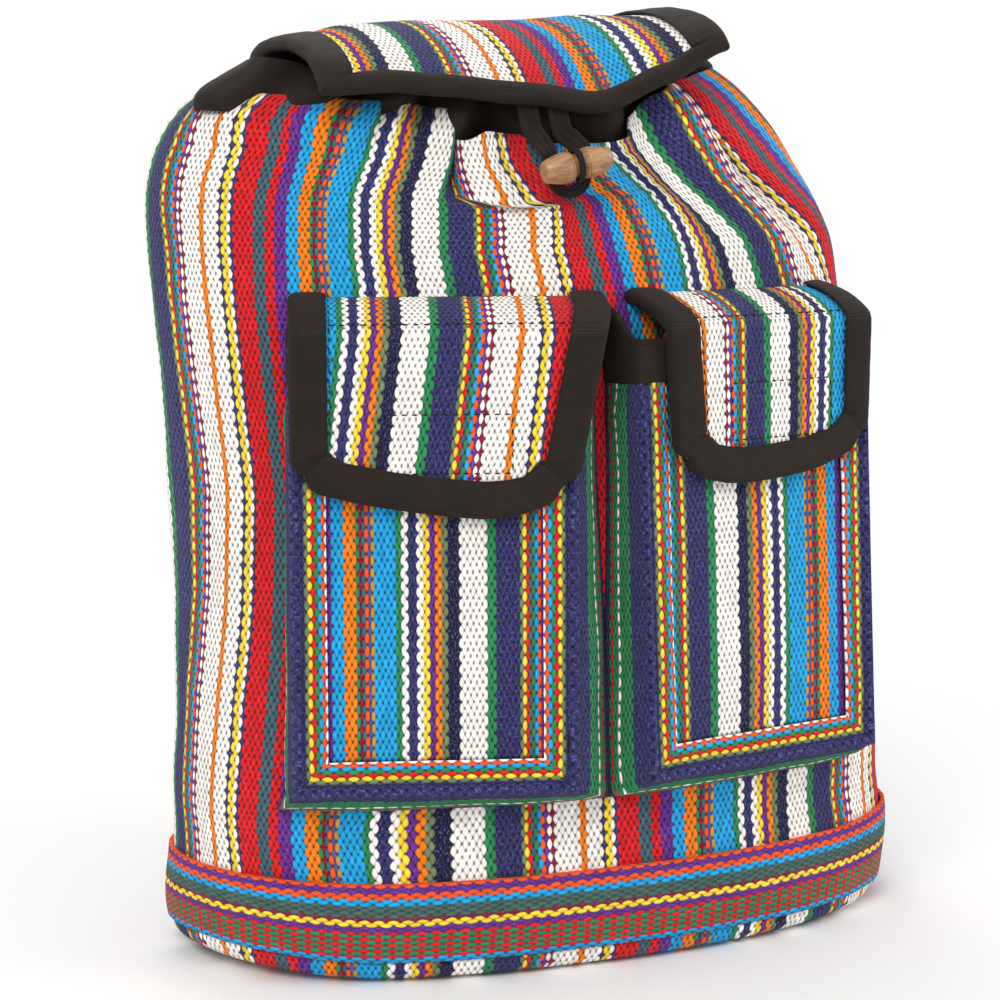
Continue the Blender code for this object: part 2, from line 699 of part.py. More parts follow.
def make_loop(dark):
    """The folded tape that hangs from the flap and passes behind the toggle."""
    x, y, z = TOGGLE_AT
    plane = y + TOGGLE_RADIUS + LOOP_THICK / 2 + 2 * GAP
    half = 0.0072
    under = CLOTH / 2 + 2.4 * GAP + TAPE + LOOP_THICK / 2
    left = [tuple(lid_surface(x - 0.0130, v, -under)) for v in (0.95, 0.985)]
    left += [(x - 0.0118, -0.0510, 0.3283), (x - 0.0108, -0.0545, 0.3245),
             (x - 0.0090, plane + 0.0008, 0.3200), (x - half, plane, 0.3150)]
    foot = []
    for i in range(1, 8):
        t = math.pi * i / 8
        foot.append((x - half * math.cos(t), plane, 0.3110 - 0.0075 * math.sin(t)))
    right = [(x + half, plane, 0.3150), (x + 0.0064, plane + 0.0008, 0.3195),
             (x + 0.0036, -0.0545, 0.3235), (x + 0.0012, -0.0508, 0.3270)]
    right += [tuple(lid_surface(x, v, -under)) for v in (0.985, 0.95)]
    path = left + foot + right
    rings = []
    for i, p in enumerate(path):
        a, b = Vector(path[max(i - 1, 0)]), Vector(path[min(i + 1, len(path) - 1)])
        along = (b - a).normalized()
        out = Vector((0, -1, 0))
        out = (out - along * out.dot(along)).normalized()
        across = along.cross(out)
        w, t = LOOP_WIDTH / 2, LOOP_THICK / 2
        rings.append([Vector(p) + across * c + out * d for c, d in
                      ((-w, -t), (w, -t), (w, t), (-w, t))])
    tube_of("flap_loop", rings, dark)


def make_toggle(wood, dark):
    """A turned wooden barrel with a grooved waist, and the cord tied round it."""
    half, r = TOGGLE_LENGTH / 2, TOGGLE_RADIUS
    profile = [(-half, 0.0), (-half, r * 0.62), (-half + 0.0007, r * 0.72), (-0.0090, r * 0.93),
               (-0.0060, r), (-0.0036, r), (-0.0031, r * 0.90), (-0.0026, r * 0.98),
               (-0.0021, TOGGLE_WAIST), (0.0021, TOGGLE_WAIST), (0.0026, r * 0.98),
               (0.0031, r * 0.90), (0.0036, r), (0.0060, r), (0.0090, r * 0.93),
               (half - 0.0007, r * 0.72), (half, r * 0.62), (half, 0.0)]
    bm = bmesh.new()
    verts = [bm.verts.new((a, 0.0, b)) for a, b in profile]
    edges = [bm.edges.new(pair) for pair in zip(verts, verts[1:])]
    bmesh.ops.spin(bm, geom=verts + edges, cent=(0, 0, 0), axis=(1, 0, 0), steps=14,
                   angle=2 * math.pi, use_merge=True)
    bmesh.ops.remove_doubles(bm, verts=bm.verts, dist=1e-6)
    barrel = finish_object("toggle", bm, wood, 30.0, TOGGLE_AT)
    barrel.rotation_euler = (0.0, -math.radians(TOGGLE_TILT), 0.0)

    ring = TOGGLE_WAIST + GAP + TIE_RADIUS
    bm = bmesh.new()
    turns, around = 20, 8
    loops = []
    for i in range(turns):
        a = 2 * math.pi * i / turns
        centre = Vector((0.0, ring * math.sin(a), ring * math.cos(a)))
        out = centre.normalized()
        loops.append([bm.verts.new(centre + out * TIE_RADIUS * math.cos(b)
                                   + Vector((1.85 * TIE_RADIUS * math.sin(b), 0, 0)))
                      for b in (2 * math.pi * j / around for j in range(around))])
    for i in range(turns):
        one, two = loops[i], loops[(i + 1) % turns]
        for j in range(around):
            k = (j + 1) % around
            bm.faces.new([one[j], one[k], two[k], two[j]])
    tie = finish_object("toggle_tie", bm, dark, 40.0, TOGGLE_AT)
    tie.rotation_euler = barrel.rotation_euler

    start = ring
    end = -TOGGLE_AT[1] - stem_seat()
    bm = bmesh.new()
    bmesh.ops.create_cone(bm, cap_ends=True, segments=10, radius1=1.5 * TIE_RADIUS,
                          radius2=1.5 * TIE_RADIUS, depth=end - start)
    bmesh.ops.rotate(bm, verts=bm.verts, matrix=Vector((0, 0, 1)).rotation_difference(
        Vector((0, 1, 0))).to_matrix())
    bmesh.ops.translate(bm, verts=bm.verts, vec=(0, (start + end) / 2, 0))
    stem = finish_object("tie_stem_tool", bm, dark, 40.0, TOGGLE_AT)
    stem.hide_render = True
    stem.display_type = "WIRE"
    union = tie.modifiers.new("stem", "BOOLEAN")
    union.operation = "UNION"
    union.object = stem
    union.solver = "EXACT"


def stem_seat():
    """Depth of the body's front, folds included, where the toggle's cord leaves it."""
    x, _, z = TOGGLE_AT
    best = 0.0
    for i in range(160):
        share = 0.42 + 0.16 * i / 159
        for j in range(24):
            height = 0.300 + 0.040 * j / 23
            p = body_point(share, height)
            if abs(p.x - x) < 0.0022 and abs(p.z - z) < 0.0022:
                best = max(best, -p.y)
    return best + GAP


# Straps behind


def back_y(x, z):
    """Where the back panel's outer face lies, with the top's lean undone."""
    inner = z
    for _ in range(6):
        inner = z - (lean(inner, x, face_depth(x, inner, True)) - inner)
    return face_depth(x, inner, True)


def make_straps(cloth, dark, hard):
    """Two padded shoulder straps, their buckles and the webbing to the foot."""
    for side, name in ((-1, "left"), (1, "right")):
        def at(x, z, out):
            return Vector((x, back_y(x, z) + out, z))

        top = -0.012 + side * 0.036
        route = [(top, 0.3150, 0.0036), (top, 0.3060, 0.0056), (top + side * 0.002, 0.2940, 0.0110),
                 (top + side * 0.007, 0.2750, 0.0180), (top + side * 0.014, 0.2450, 0.0215),
                 (top + side * 0.022, 0.2100, 0.0210), (top + side * 0.028, 0.1750, 0.0180),
                 (top + side * 0.033, 0.1450, 0.0150), (top + side * 0.036, 0.1250, 0.0130)]
        path = [at(*p) for p in route]
        count = len(path) - 1
        thick = [STRAP_END] + [STRAP_THICK] * (count - 1) + [STRAP_END]
        thick[1] = 0.0060
        width = [0.038, 0.042] + [STRAP_WIDTH] * (count - 3) + [0.040, 0.030]
        ribbon(name + "_shoulder_strap", path, width, thick, cloth, edge=0.005)

        down = (path[-1] - path[-2]).normalized()
        across = (Vector((1, 0, 0)) - down * down.x).normalized()
        out = across.cross(down)
        if out.y < 0:
            out = -out
        bars = [path[-1] + down * (0.0100 + BUCKLE_PITCH * i) for i in range(3)]
        make_buckle(name, bars, across, down, out, hard)
        make_buckle_tab(name, path[-1], bars[0], across, down, out, dark)
        make_lower_web(name, side, bars, across, down, out, dark)
        make_anchor(name, side, cloth)


def make_buckle(name, bars, across, down, out, hard):
    """A slide with three bars: a frame cut by two slots."""
    turn = [across, down, out]

    def block(centre, size, label):
        bm = bmesh.new()
        bmesh.ops.create_cube(bm, size=1.0)
        for v in bm.verts:
            v.co = centre + sum((turn[k] * (v.co[k] * size[k]) for k in range(3)), Vector())
        return finish_object(label, bm, hard, 30.0)

    long = 2 * BUCKLE_PITCH + BAR
    frame = block(bars[1], (BUCKLE_WIDTH, long, BAR), name + "_strap_buckle")
    for i in range(2):
        hole = block((bars[i] + bars[i + 1]) / 2,
                     (BUCKLE_WIDTH - 2 * BAR, BUCKLE_PITCH - BAR, 3 * BAR), f"{name}_slot_{i}")
        hole.hide_render = True
        hole.display_type = "WIRE"
        cut = frame.modifiers.new("slot", "BOOLEAN")
        cut.operation = "DIFFERENCE"
        cut.object = hole
        cut.solver = "EXACT"
    soften = frame.modifiers.new("soften", "BEVEL")
    soften.width = 0.0005
    soften.segments = 1
    soften.limit_method = "ANGLE"


def turn_round(centre, down, out, radius, start, end, steps):
    """Points on an arc about a bar: degrees from down towards out."""
    points = []
    for i in range(steps + 1):
        a = math.radians(start + (end - start) * i / steps)
        points.append(centre + down * (radius * math.cos(a)) + out * (radius * math.sin(a)))
    return points


def make_buckle_tab(name, end, bar, across, down, out, dark):
    """Short tape from the strap's foot round the buckle's top bar."""
    radius = BAR * 0.5 * 1.42 + GAP + WEB_THICK / 2
    path = [end + down * (GAP + 0.0002) + out * 0.0011, bar + out * radius - down * 0.003]
    path += turn_round(bar, down, out, radius, 90, -90, 8)
    path += [bar - out * radius - down * 0.003, end + down * (GAP + 0.0002) - out * 0.0011]
    flat_tape(name + "_buckle_tab", path, WEB_WIDTH, WEB_THICK, across, dark)


def flat_tape(name, path, width, thick, across, mat):
    """A tape whose width keeps one direction while its path turns."""
    rings = []
    for i, p in enumerate(path):
        a, b = path[max(i - 1, 0)], path[min(i + 1, len(path) - 1)]
        along = (b - a).normalized()
        lie = across[i] if isinstance(across, list) else across
        wide = (lie - along * lie.dot(along)).normalized()
        out = wide.cross(along)
        w, t = width / 2, thick / 2
        rings.append([p + wide * c + out * d for c, d in ((-w, -t), (w, -t), (w, t), (-w, t))])
    tube_of(name, rings, mat)


def make_lower_web(name, side, bars, across, down, out, dark):
    """Webbing from the foot of the back, up round the middle bar, with a loose tail."""
    foot_x, foot_z = side * 0.092, 0.052
    foot = Vector((foot_x, back_y(foot_x, foot_z) + 0.0012, foot_z))
    radius = BAR * 0.5 * 1.42 + GAP + WEB_THICK / 2
    low_in = bars[2] - out * (radius + 0.0002)
    low_out = bars[2] + out * (radius + 0.0002)
    goal = low_in + down * 0.006
    far = goal.y - back_y(goal.x, goal.z)
    rise, wide = [], []
    for t in (0.0, 0.2, 0.4, 0.6, 0.8, 1.0):
        p = foot.lerp(goal, t)
        rise.append(Vector((p.x, back_y(p.x, p.z) + 0.0014 + (far - 0.0014) * t * t, p.z)))
        slope = back_y(p.x + 0.004, p.z) - back_y(p.x - 0.004, p.z)
        lie = Vector((0.008, slope, 0.0)).normalized()
        wide.append(lie.lerp(across, smooth_step(t)).normalized())
    path = rise + [low_in]
    path += turn_round(bars[1], down, out, radius, -90, -270, 8)
    path += [low_out, low_out + down * 0.006, low_out + down * 0.020 + out * 0.001,
             low_out + down * 0.034 + out * 0.0005]
    wide += [across] * (len(path) - len(wide))
    flat_tape(name + "_lower_webbing", path, WEB_WIDTH - 0.001, WEB_THICK, wide, dark)


def make_anchor(name, side, cloth):
    """A cloth tab sewn over the webbing's foot."""
    rows = ((0.0940, BAND_TOP + GAP + 0.002, 0.042), (0.0930, 0.0500, 0.036),
            (0.0910, 0.0590, 0.029))
    skins = []
    for out in (0.0050, 0.0036):
        skins.append([[Vector((side * x + w * t, back_y(side * x + w * t, z) + out, z))
                       for t in (-0.5, -0.25, 0.0, 0.25, 0.5)] for x, z, w in rows])
    slab(name + "_anchor_tab", skins[0], skins[1], cloth)


def make_haul_loop(dark):
    """The carrying loop between the straps, hanging from the seam."""
    middle = -0.012
    rings = []
    count = 14
    for i in range(count + 1):
        t = i / count
        a = math.pi * t
        x = middle - HAUL_WIDTH / 2 * math.cos(a) * 0.30
        drop = math.sin(a) ** 0.8 if 0 < i < count else 0.0
        z = 0.3140 - HAUL_DROP * drop
        y = back_y(x, z) + 0.0026 + 0.0090 * drop
        rings.append(Vector((x, y, z)))
    outlines = []
    for i, p in enumerate(rings):
        a, b = rings[max(i - 1, 0)], rings[min(i + 1, count)]
        along = (b - a).normalized()
        out = Vector((0, 1, 0))
        out = (out - along * out.dot(along)).normalized()
        across = along.cross(out)
        outlines.append([p + across * 0.0038 * math.cos(c) + out * 0.0022 * math.sin(c)
                         for c in (2 * math.pi * j / 8 for j in range(8))])
    tube_of("haul_loop", outlines, dark)


def build():
    """Clears the scene and models every piece."""
    global ROOT
    for obj in list(bpy.data.objects):
        bpy.data.objects.remove(obj, do_unlink=True)
    ROOT = bpy.data.objects.new("backpack", None)
    ROOT.location = (SHIFT_X, SHIFT_Y, 0.0)
    bpy.context.scene.collection.objects.link(ROOT)
    cloth = material("striped_cotton", (0.36, 0.16, 0.20), 0.90)
    plain = material("striped_cotton_band", (0.10, 0.22, 0.26), 0.90)
    dark = material("dark_cotton_tape", (0.020, 0.017, 0.015), 0.80)
    wood = material("turned_wood", (0.42, 0.25, 0.13), 0.55)
    hard = material("black_plastic", (0.015, 0.015, 0.016), 0.40)
    make_body(cloth, dark)
    make_foot(plain)
    for side in (-1, 1):
        pocket = Pocket(side)
        make_gusset(pocket, cloth)
        make_pocket_front(pocket, cloth)
        make_mouth_tape(pocket, dark)
        make_pocket_flap(pocket, cloth, dark)
        make_grip(pocket, dark)
    make_lid(cloth, dark)
    make_loop(dark)
    make_toggle(wood, dark)
    make_straps(cloth, dark, hard)
    make_haul_loop(dark)
    bpy.context.view_layer.update()


build()
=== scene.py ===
# %% [markdown]
# # A mini backpack in striped handwoven cotton
# The bag stands packed and closed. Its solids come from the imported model, and this
# lesson dresses them: cloth that bends in soft folds, dark tape folded over raw edges,
# rows of stitches, a turned wooden toggle and padded straps behind. A cloth piece could
# be modelled face by face, but it is easier to bend a flat grid of cloth into place:
# then every thread knows where it lies, and the weave can follow it.

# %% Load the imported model
import math
import bmesh
import bpy
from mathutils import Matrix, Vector, noise


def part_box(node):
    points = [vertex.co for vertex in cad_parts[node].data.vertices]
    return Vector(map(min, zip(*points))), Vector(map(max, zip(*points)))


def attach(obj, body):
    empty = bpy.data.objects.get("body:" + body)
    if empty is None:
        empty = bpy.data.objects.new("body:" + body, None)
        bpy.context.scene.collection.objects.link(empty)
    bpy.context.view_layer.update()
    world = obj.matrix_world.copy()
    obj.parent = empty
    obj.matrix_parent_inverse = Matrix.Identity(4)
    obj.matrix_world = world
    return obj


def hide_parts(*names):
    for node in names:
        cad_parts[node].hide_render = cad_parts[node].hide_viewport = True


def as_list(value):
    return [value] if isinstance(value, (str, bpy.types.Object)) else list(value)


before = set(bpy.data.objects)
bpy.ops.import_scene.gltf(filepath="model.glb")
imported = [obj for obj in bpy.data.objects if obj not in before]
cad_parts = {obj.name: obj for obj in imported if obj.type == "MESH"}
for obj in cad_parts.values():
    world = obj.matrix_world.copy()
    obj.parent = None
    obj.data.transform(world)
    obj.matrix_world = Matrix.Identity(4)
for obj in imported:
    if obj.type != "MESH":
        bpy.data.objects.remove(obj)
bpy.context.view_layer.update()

# %% [markdown]
# ## Camera
# The photo looks at the bag from the front left and a little from above. The place and
# the angle of view were worked out from the photo, so the camera comes before the rest.

# %% Set the camera
CAMERA_AT = Vector((-0.3820, -0.9313, 0.3267))
CAMERA_PITCH = 81.51
CAMERA_TURN = -21.32
VIEW_ANGLE = 22.893

camera = bpy.data.objects.new("camera", bpy.data.cameras.new("camera"))
camera.data.angle = math.radians(VIEW_ANGLE)
camera.location = CAMERA_AT
camera.rotation_euler = (math.radians(CAMERA_PITCH), 0.0, math.radians(CAMERA_TURN))
bpy.context.scene.collection.objects.link(camera)
bpy.context.scene.camera = camera
print("camera distance:", round(CAMERA_AT.length, 3))

# %% [markdown]
# ## Shader maths as plain sums
# A weave is a formula: which thread is on top at a place, and how high it stands. Nodes
# for such a formula are tedious to wire by hand, so a small class wraps a socket and adds
# a Math node for each sum. Any other node comes from its one method `node`.

# %% A socket that can be added and multiplied


class Wire:
    """One shader value. Sums of wires add Math nodes to the tree."""

    def __init__(self, tree, socket):
        self.tree, self.socket = tree, socket

    def node(self, kind, settings=(), sockets=(), out=0):
        """Adds a node. Settings come first, then the values or links of its sockets."""
        made = self.tree.nodes.new("ShaderNode" + kind)
        for key, value in dict(settings).items():
            if key == "stops":
                ramp = made.color_ramp
                for i, (place, colour) in enumerate(value):
                    stop = ramp.elements[i] if i < 2 else ramp.elements.new(place)
                    stop.position = place
                    stop.color = colour
            elif key == "blend":
                made.color_ramp.interpolation = value
            else:
                setattr(made, key, value)
        for key, value in dict(sockets).items():
            if isinstance(value, Wire):
                self.tree.links.new(value.socket, made.inputs[key])
            else:
                made.inputs[key].default_value = value
        return Wire(self.tree, made.outputs[out])

    def math(self, operation, *others):
        inputs = {0: self}
        for i, other in enumerate(others):
            inputs[i + 1] = other
        return self.node("Math", {"operation": operation}, inputs)

    def __add__(self, other):
        return self.math("ADD", other)

    def __sub__(self, other):
        return self.math("SUBTRACT", other)

    def __rsub__(self, other):
        return self.node("Math", {"operation": "SUBTRACT"}, {0: other, 1: self})

    def __mul__(self, other):
        return self.math("MULTIPLY", other)

    def __truediv__(self, other):
        return self.math("DIVIDE", other)

    __radd__ = __add__
    __rmul__ = __mul__


def mix(factor, one, two, how="MIX"):
    """Colour one where factor is 0, colour two where it is 1."""
    wire = factor if isinstance(factor, Wire) else one
    return wire.node("Mix", {"data_type": "RGBA", "blend_type": how},
                     {0: factor, 6: one, 7: two}, 2)


def cloudy(place, scale, detail=2.0, rough=0.5, flat=False):
    """Noise from 0 to 1 over a place, or over a flat one such as a thread map."""
    return place.node("TexNoise", {"noise_dimensions": "2D" if flat else "3D"},
                      {"Vector": place, "Scale": scale, "Detail": detail, "Roughness": rough})


def ramped(value, low, high, start, end):
    """Start where value is at low or below, end at high or above, soft between them."""
    return value.node("MapRange", {"interpolation_type": "SMOOTHSTEP"},
                      {"Value": value, "From Min": low, "From Max": high,
                       "To Min": start, "To Max": end})


def new_material(name, roughness, sheen=0.0, shine=0.5):
    """A Principled material with its constant sockets set, its tree and its shader."""
    made = bpy.data.materials.new(name)
    made.use_nodes = True
    shader = made.node_tree.nodes["Principled BSDF"]
    shader.inputs["Roughness"].default_value = roughness
    shader.inputs["Sheen Weight"].default_value = sheen
    shader.inputs["Sheen Roughness"].default_value = 0.5
    shader.inputs["Specular IOR Level"].default_value = shine
    return made, made.node_tree, shader


def plug(tree, wire, socket):
    """Feeds a wire into a socket."""
    tree.links.new(wire.socket, socket)


def finish_shader(tree, shader, colour, roughness, relief, strength, distance):
    """Feeds the three things that change over a surface: colour, roughness and relief."""
    plug(tree, colour, shader.inputs["Base Color"])
    plug(tree, roughness, shader.inputs["Roughness"])
    plug(tree, relief.node("Bump", (), {"Height": relief, "Strength": strength,
                                        "Distance": distance}), shader.inputs["Normal"])


def thread_map(tree):
    """The piece's own thread map, whole and as its two lengths in metres of cloth."""
    threads = tree.nodes.new("ShaderNodeUVMap")
    threads.uv_map = "threads"
    split = tree.nodes.new("ShaderNodeSeparateXYZ")
    tree.links.new(threads.outputs[0], split.inputs[0])
    return [Wire(tree, socket) for socket in (threads.outputs[0], *split.outputs[:2])]


def object_place(tree):
    """The place on the piece, in metres."""
    return Wire(tree, tree.nodes.new("ShaderNodeTexCoord").outputs["Object"])


def linear(red, green, blue):
    """A colour given as 0 to 255 on the screen, as the light values that Blender mixes."""
    steps = [c / 255.0 for c in (red, green, blue)]
    return tuple(c / 12.92 if c < 0.04045 else ((c + 0.055) / 1.055) ** 2.4 for c in steps) + (1.0,)


print("shader helpers ready")

# %% [markdown]
# ## The striped cloth
# The cloth is a plain weave in which only the warp shows. Neighbouring warp ends are up
# on turn about rows, like bricks, so each stripe has a zigzag edge. An image would blur
# close up and slide over folds. Here the colour of an end is read from a ramp by its
# number, and the shape of the float that stands over each weft is a rounded hill. One
# ramp holds the even ends and one the odd ends, so neighbours can differ in colour.

# %% Colours and order of the stripes
WARP_PITCH = 0.0012087
WEFT_PITCH = 0.00247
STRIPE_START = 17            # number of the first end of the first white stripe
CLOTH = 0.0024

DYES = {
    "cream": linear(252, 247, 240), "navy": linear(50, 48, 100), "ink": linear(30, 30, 64),
    "red": linear(218, 28, 26), "slate": linear(66, 98, 108), "purple": linear(104, 42, 140),
    "cyan": linear(38, 162, 222), "orange": linear(246, 128, 28), "coral": linear(248, 88, 38),
    "yellow": linear(250, 214, 58), "green": linear(44, 134, 82), "sage": linear(112, 130, 90),
    "maroon": linear(136, 20, 44), "tan": linear(186, 146, 70), "plum": linear(84, 84, 140),
    "moss": linear(72, 98, 84),
}
# One repeat of the body's stripes: dyes that the ends take in turn, and how many ends
BODY_STRIPES = (
    ("cream", 8), ("orange", 2), ("cream", 4), ("cream navy", 2), ("yellow", 2),
    ("cream navy", 2), ("red", 7), ("slate", 4), ("red", 3), ("purple", 4), ("cyan", 4),
    ("orange", 4), ("green maroon slate coral plum tan", 6), ("cyan", 7), ("green", 2),
    ("cream", 2), ("navy", 3), ("cream", 2), ("yellow", 2), ("purple", 2), ("orange", 2),
    ("sage", 2), ("ink", 4), ("cream", 9), ("green", 3), ("navy", 8),
    ("sage yellow red slate green cyan coral purple cream maroon", 10),
)
# The pockets' strip, from the inner edge of the frame outwards
GUSSET_STRIPES = (
    ("cream coral cyan green red yellow sage", 7), ("navy", 12), ("green", 6), ("cream", 1),
    ("green", 3), ("red green", 2), ("navy", 9),
)
# The foot band, from its foot upwards
BAND_STRIPES = (
    ("cyan", 2), ("red green", 9), ("purple", 2), ("yellow", 2), ("maroon", 1), ("moss", 4),
    ("cyan", 2), ("coral", 2), ("purple", 2), ("coral", 2),
)


for stripes in (BODY_STRIPES, GUSSET_STRIPES, BAND_STRIPES):
    print("stripes:", len(stripes), "warp ends:", sum(count for _, count in stripes))

# %% [markdown]
# ## The weave
# For each parity of ends the nearest float is found by rounding. The float that stands
# higher gives the colour, and its height gives the relief and the shade between floats.
# A short random number per float makes some of them darker, as in yarn spun by hand.

# %% Weave the three cloths


def stripe_stops(stripes, parity, phase):
    """Ramp stops over one repeat, read from the ends of one parity alone."""
    ends = [dyes.split()[i % len(dyes.split())] for dyes, count in stripes for i in range(count)]
    stops = []
    for at, dye in enumerate(ends):
        if (at + phase) % 2 == parity and (not stops or stops[-1][1] != DYES[dye]):
            stops.append((at / len(ends), DYES[dye]))
    return stops


def dye_at(spot, stops):
    """Dye at a share of the repeat. One ramp holds 32 stops at most, so two share them."""
    middle = (len(stops) + 1) // 2
    low, high = [spot.node("ValToRGB", {"blend": "CONSTANT", "stops": part}, {0: spot})
                 for part in (stops[:middle], stops[middle:])]
    return mix(spot.math("GREATER_THAN", stops[middle][0]), low, high)


WOBBLE = (0.50, 0.40)        # how far a float strays, in ends and in wefts
FLOAT_WIDE, FLOAT_LONG, FLOAT_POWER = 0.90, 0.92, 2.4
SHADE = (0.36, 1.14)         # between two floats and on top of one
LINT = linear(134, 134, 182)
LINT_FROM, LINT_FULL, LINT_MOST = 0.52, 0.72, 0.36   # pale specks on dark yarn
RELIEF = 0.0007


def weave(name, stripes, first, weft, open_weave):
    """Warp-faced plain weave, read from the piece's thread map in metres.

    First is the number of the end that starts a repeat. The weft shows in the gaps.
    """
    made, tree, shader = new_material(name, 0.9, sheen=0.06, shine=0.15)
    total = sum(count for _, count in stripes)
    start, across, along = thread_map(tree)
    wobble = cloudy(start, 260.0, 1.0, flat=True) - 0.5
    across = across / WARP_PITCH + wobble * WOBBLE[0]
    along = along / WEFT_PITCH + wobble * WOBBLE[1]

    floats = []
    for parity in (0, 1):
        end = ((across - parity) * 0.5).math("ROUND") * 2.0 + parity
        row = ((along - parity) * 0.5).math("ROUND") * 2.0 + parity
        dx = (across - end) / FLOAT_WIDE
        dy = ((along - row) / FLOAT_LONG).math("ABSOLUTE").math("POWER", FLOAT_POWER)
        spot = ((end - first) / total).math("FRACT") + 0.5 / total
        dye = dye_at(spot, stripe_stops(stripes, parity, first))
        grain = end.node("TexWhiteNoise", {"noise_dimensions": "2D"},
                         {"Vector": end.node("CombineXYZ", (), {0: end, 1: row})})
        floats.append((1.0 - dx * dx - dy, dye, grain))
    (h0, dye0, grain0), (h1, dye1, grain1) = floats
    odd_up = h1.math("GREATER_THAN", h0)
    height = h0.math("MAXIMUM", h1)
    dye = mix(odd_up, dye0, dye1)
    grain = grain0 * (1.0 - odd_up) + grain1 * odd_up

    # the yarn's fibres run slantwise over a float, its specks have no direction
    twisted = across.node("CombineXYZ", (), {0: across * 2.2 + along * 1.3, 1: along * 0.9})
    fibre = cloudy(twisted, 1.7, 3.0, 0.6, flat=True)
    speck = cloudy(across.node("CombineXYZ", (), {0: across * 2.1, 1: along * 2.1}), 1.0, 1.0,
                   flat=True)
    cloud = cloudy(start, 28.0, 3.0, flat=True)
    shade = (ramped(height, 0.04, 0.84, *SHADE) * (0.84 + grain * 0.26) * (0.76 + fibre * 0.46)
             * (0.92 + cloud * 0.16))
    gap = ramped(height, -0.02, open_weave, 0.85, 0.0)
    dark = (1.0 - dye.node("RGBToBW", (), {0: dye}) * 4.0).math("MAXIMUM", 0.0)
    rubbed = mix(ramped(speck, LINT_FROM, LINT_FULL, 0.0, LINT_MOST) * dark, dye, LINT)
    grey = shade.node("CombineColor", (), {0: shade, 1: shade, 2: shade})
    colour = mix(1.0, mix(gap, rubbed, weft), grey, "MULTIPLY")
    finish_shader(tree, shader, colour, 0.80 + fibre * 0.18,
                  height.math("MAXIMUM", -0.1) + fibre * 0.35, 1.0, RELIEF)
    return made


# A finish is a material paired with the name of a slot
# The dark weft colours of the body and the gusset are the yarn's own blue-grey, taken darker for the
# shade between the floats: partly painted shade
BODY_WEAVE = weave("striped_cloth", BODY_STRIPES, STRIPE_START, linear(44, 38, 62), 0.20)
COTTON, FOOT_COTTON = (BODY_WEAVE, "striped_cotton"), (BODY_WEAVE, "striped_cotton_band")
POCKET_COTTON = (weave("gusset_cloth", GUSSET_STRIPES, 0, linear(40, 36, 60), 0.20),
                 "striped_cotton")
BAND_COTTON = (weave("band_cloth", BAND_STRIPES, 0, linear(60, 160, 214), 0.40),
               "striped_cotton_band")
print("cloths:", [finish[0].name for finish in (COTTON, POCKET_COTTON, BAND_COTTON)])

# %% [markdown]
# ## Dark tape, thread, wood and plastic
# The tape is black-brown cotton with fine ribs across it, a little shiny where it is
# rubbed. Its colour is paler on the ribs and on slow creases, which is painted highlight
# and partly rubbed wear. The toggle is turned from pale wood, so its grain runs along it
# and its grooves hold old wax. The slides behind are moulded plastic.

# %% Make the other finishes
TAPE_RIB, THREAD_RIB = 0.00062, 0.0004


def tape_material(name, dark, light, rib):
    """Dark ribbed tape, painted paler on its ribs and slow creases: painted highlight, partly rubbed
    wear.
    """
    made, tree, shader = new_material(name, 0.75, sheen=0.02, shine=0.22)
    start, along, across = thread_map(tree)
    ribs = (along * (2.0 * math.pi / rib)).math("SINE") * 0.5 + 0.5
    cross = (across * (2.0 * math.pi / (rib * 0.8))).math("SINE") * 0.5 + 0.5
    cloud = cloudy(start, 90.0, 4.0, flat=True)
    fluff = cloudy(start, 2600.0, flat=True)
    # paler on the ribs and creases of the relief: painted highlight, partly rubbed wear
    weight = ribs * 0.50 + cross * 0.15 + cloud * 0.6 + fluff * 0.25 - 0.20
    relief = ribs * 0.12 + cross * 0.07 + fluff * 0.10 + cloud * 1.6
    finish_shader(tree, shader, mix(weight, dark, light), 0.62 + cloud * 0.28, relief, 0.8, 0.0018)
    return made


DARK_TAPE = (tape_material("dark_tape", linear(11, 8, 7), linear(48, 37, 30), TAPE_RIB),
             "dark_cotton_tape")
DARK_THREAD = (tape_material("dark_thread", linear(14, 12, 16), linear(38, 34, 40), THREAD_RIB),
               "dark_cotton_tape")


def wood_material(name, centre, tilt):
    """Turned wood with its grain along local X of a piece placed at centre."""
    made, tree, shader = new_material(name, 0.42)
    shader.inputs["Coat Roughness"].default_value = 0.25
    place = object_place(tree)
    moved = place.node("VectorMath", {"operation": "SUBTRACT"}, {0: place, 1: centre})
    lined = moved.node("Mapping", (), {"Vector": moved, "Rotation": (0.0, tilt, 0.0)})
    fine, wide = [lined.node("Mapping", (), {"Vector": lined, "Scale": scale})
                  for scale in ((120.0, 900.0, 900.0), (60.0, 300.0, 300.0))]
    grain, cloud = cloudy(fine, 1.0, 4.0, 0.65), cloudy(wide, 1.0)
    tone = grain * 0.75 + cloud * 0.5 - 0.12
    colour = tone.node("ValToRGB", {"stops": ((0.25, linear(104, 64, 34)),
                                              (0.75, linear(198, 150, 102)))}, {0: tone})
    plug(tree, 0.25 + cloud * 0.2, shader.inputs["Coat Weight"])
    finish_shader(tree, shader, colour, 0.34 + grain * 0.26, grain, 0.35, 0.0002)
    return made


def plastic_material(name):
    """Moulded plastic, dull black with a fine grain."""
    made, tree, shader = new_material(name, 0.4)
    place = object_place(tree)
    fine, soft = cloudy(place, 2200.0), cloudy(place, 120.0, 3.0)
    colour = mix(soft, linear(26, 26, 27), linear(40, 40, 42))
    finish_shader(tree, shader, colour, 0.34 + soft * 0.22, fine, 0.3, 0.0001)
    return made


PLASTIC = plastic_material("moulded_black")
print("materials:", len(bpy.data.materials))

# %% [markdown]
# ## The bag's form
# The stuffed body is a loft through a few cross-sections, each a rounded rectangle. A
# point on it is named by its share of the girth, from the middle of the back round by the
# left side, and by its height. Everything that touches the body reads the same form, so
# pockets, tapes and flaps sit on it without being fitted by hand.

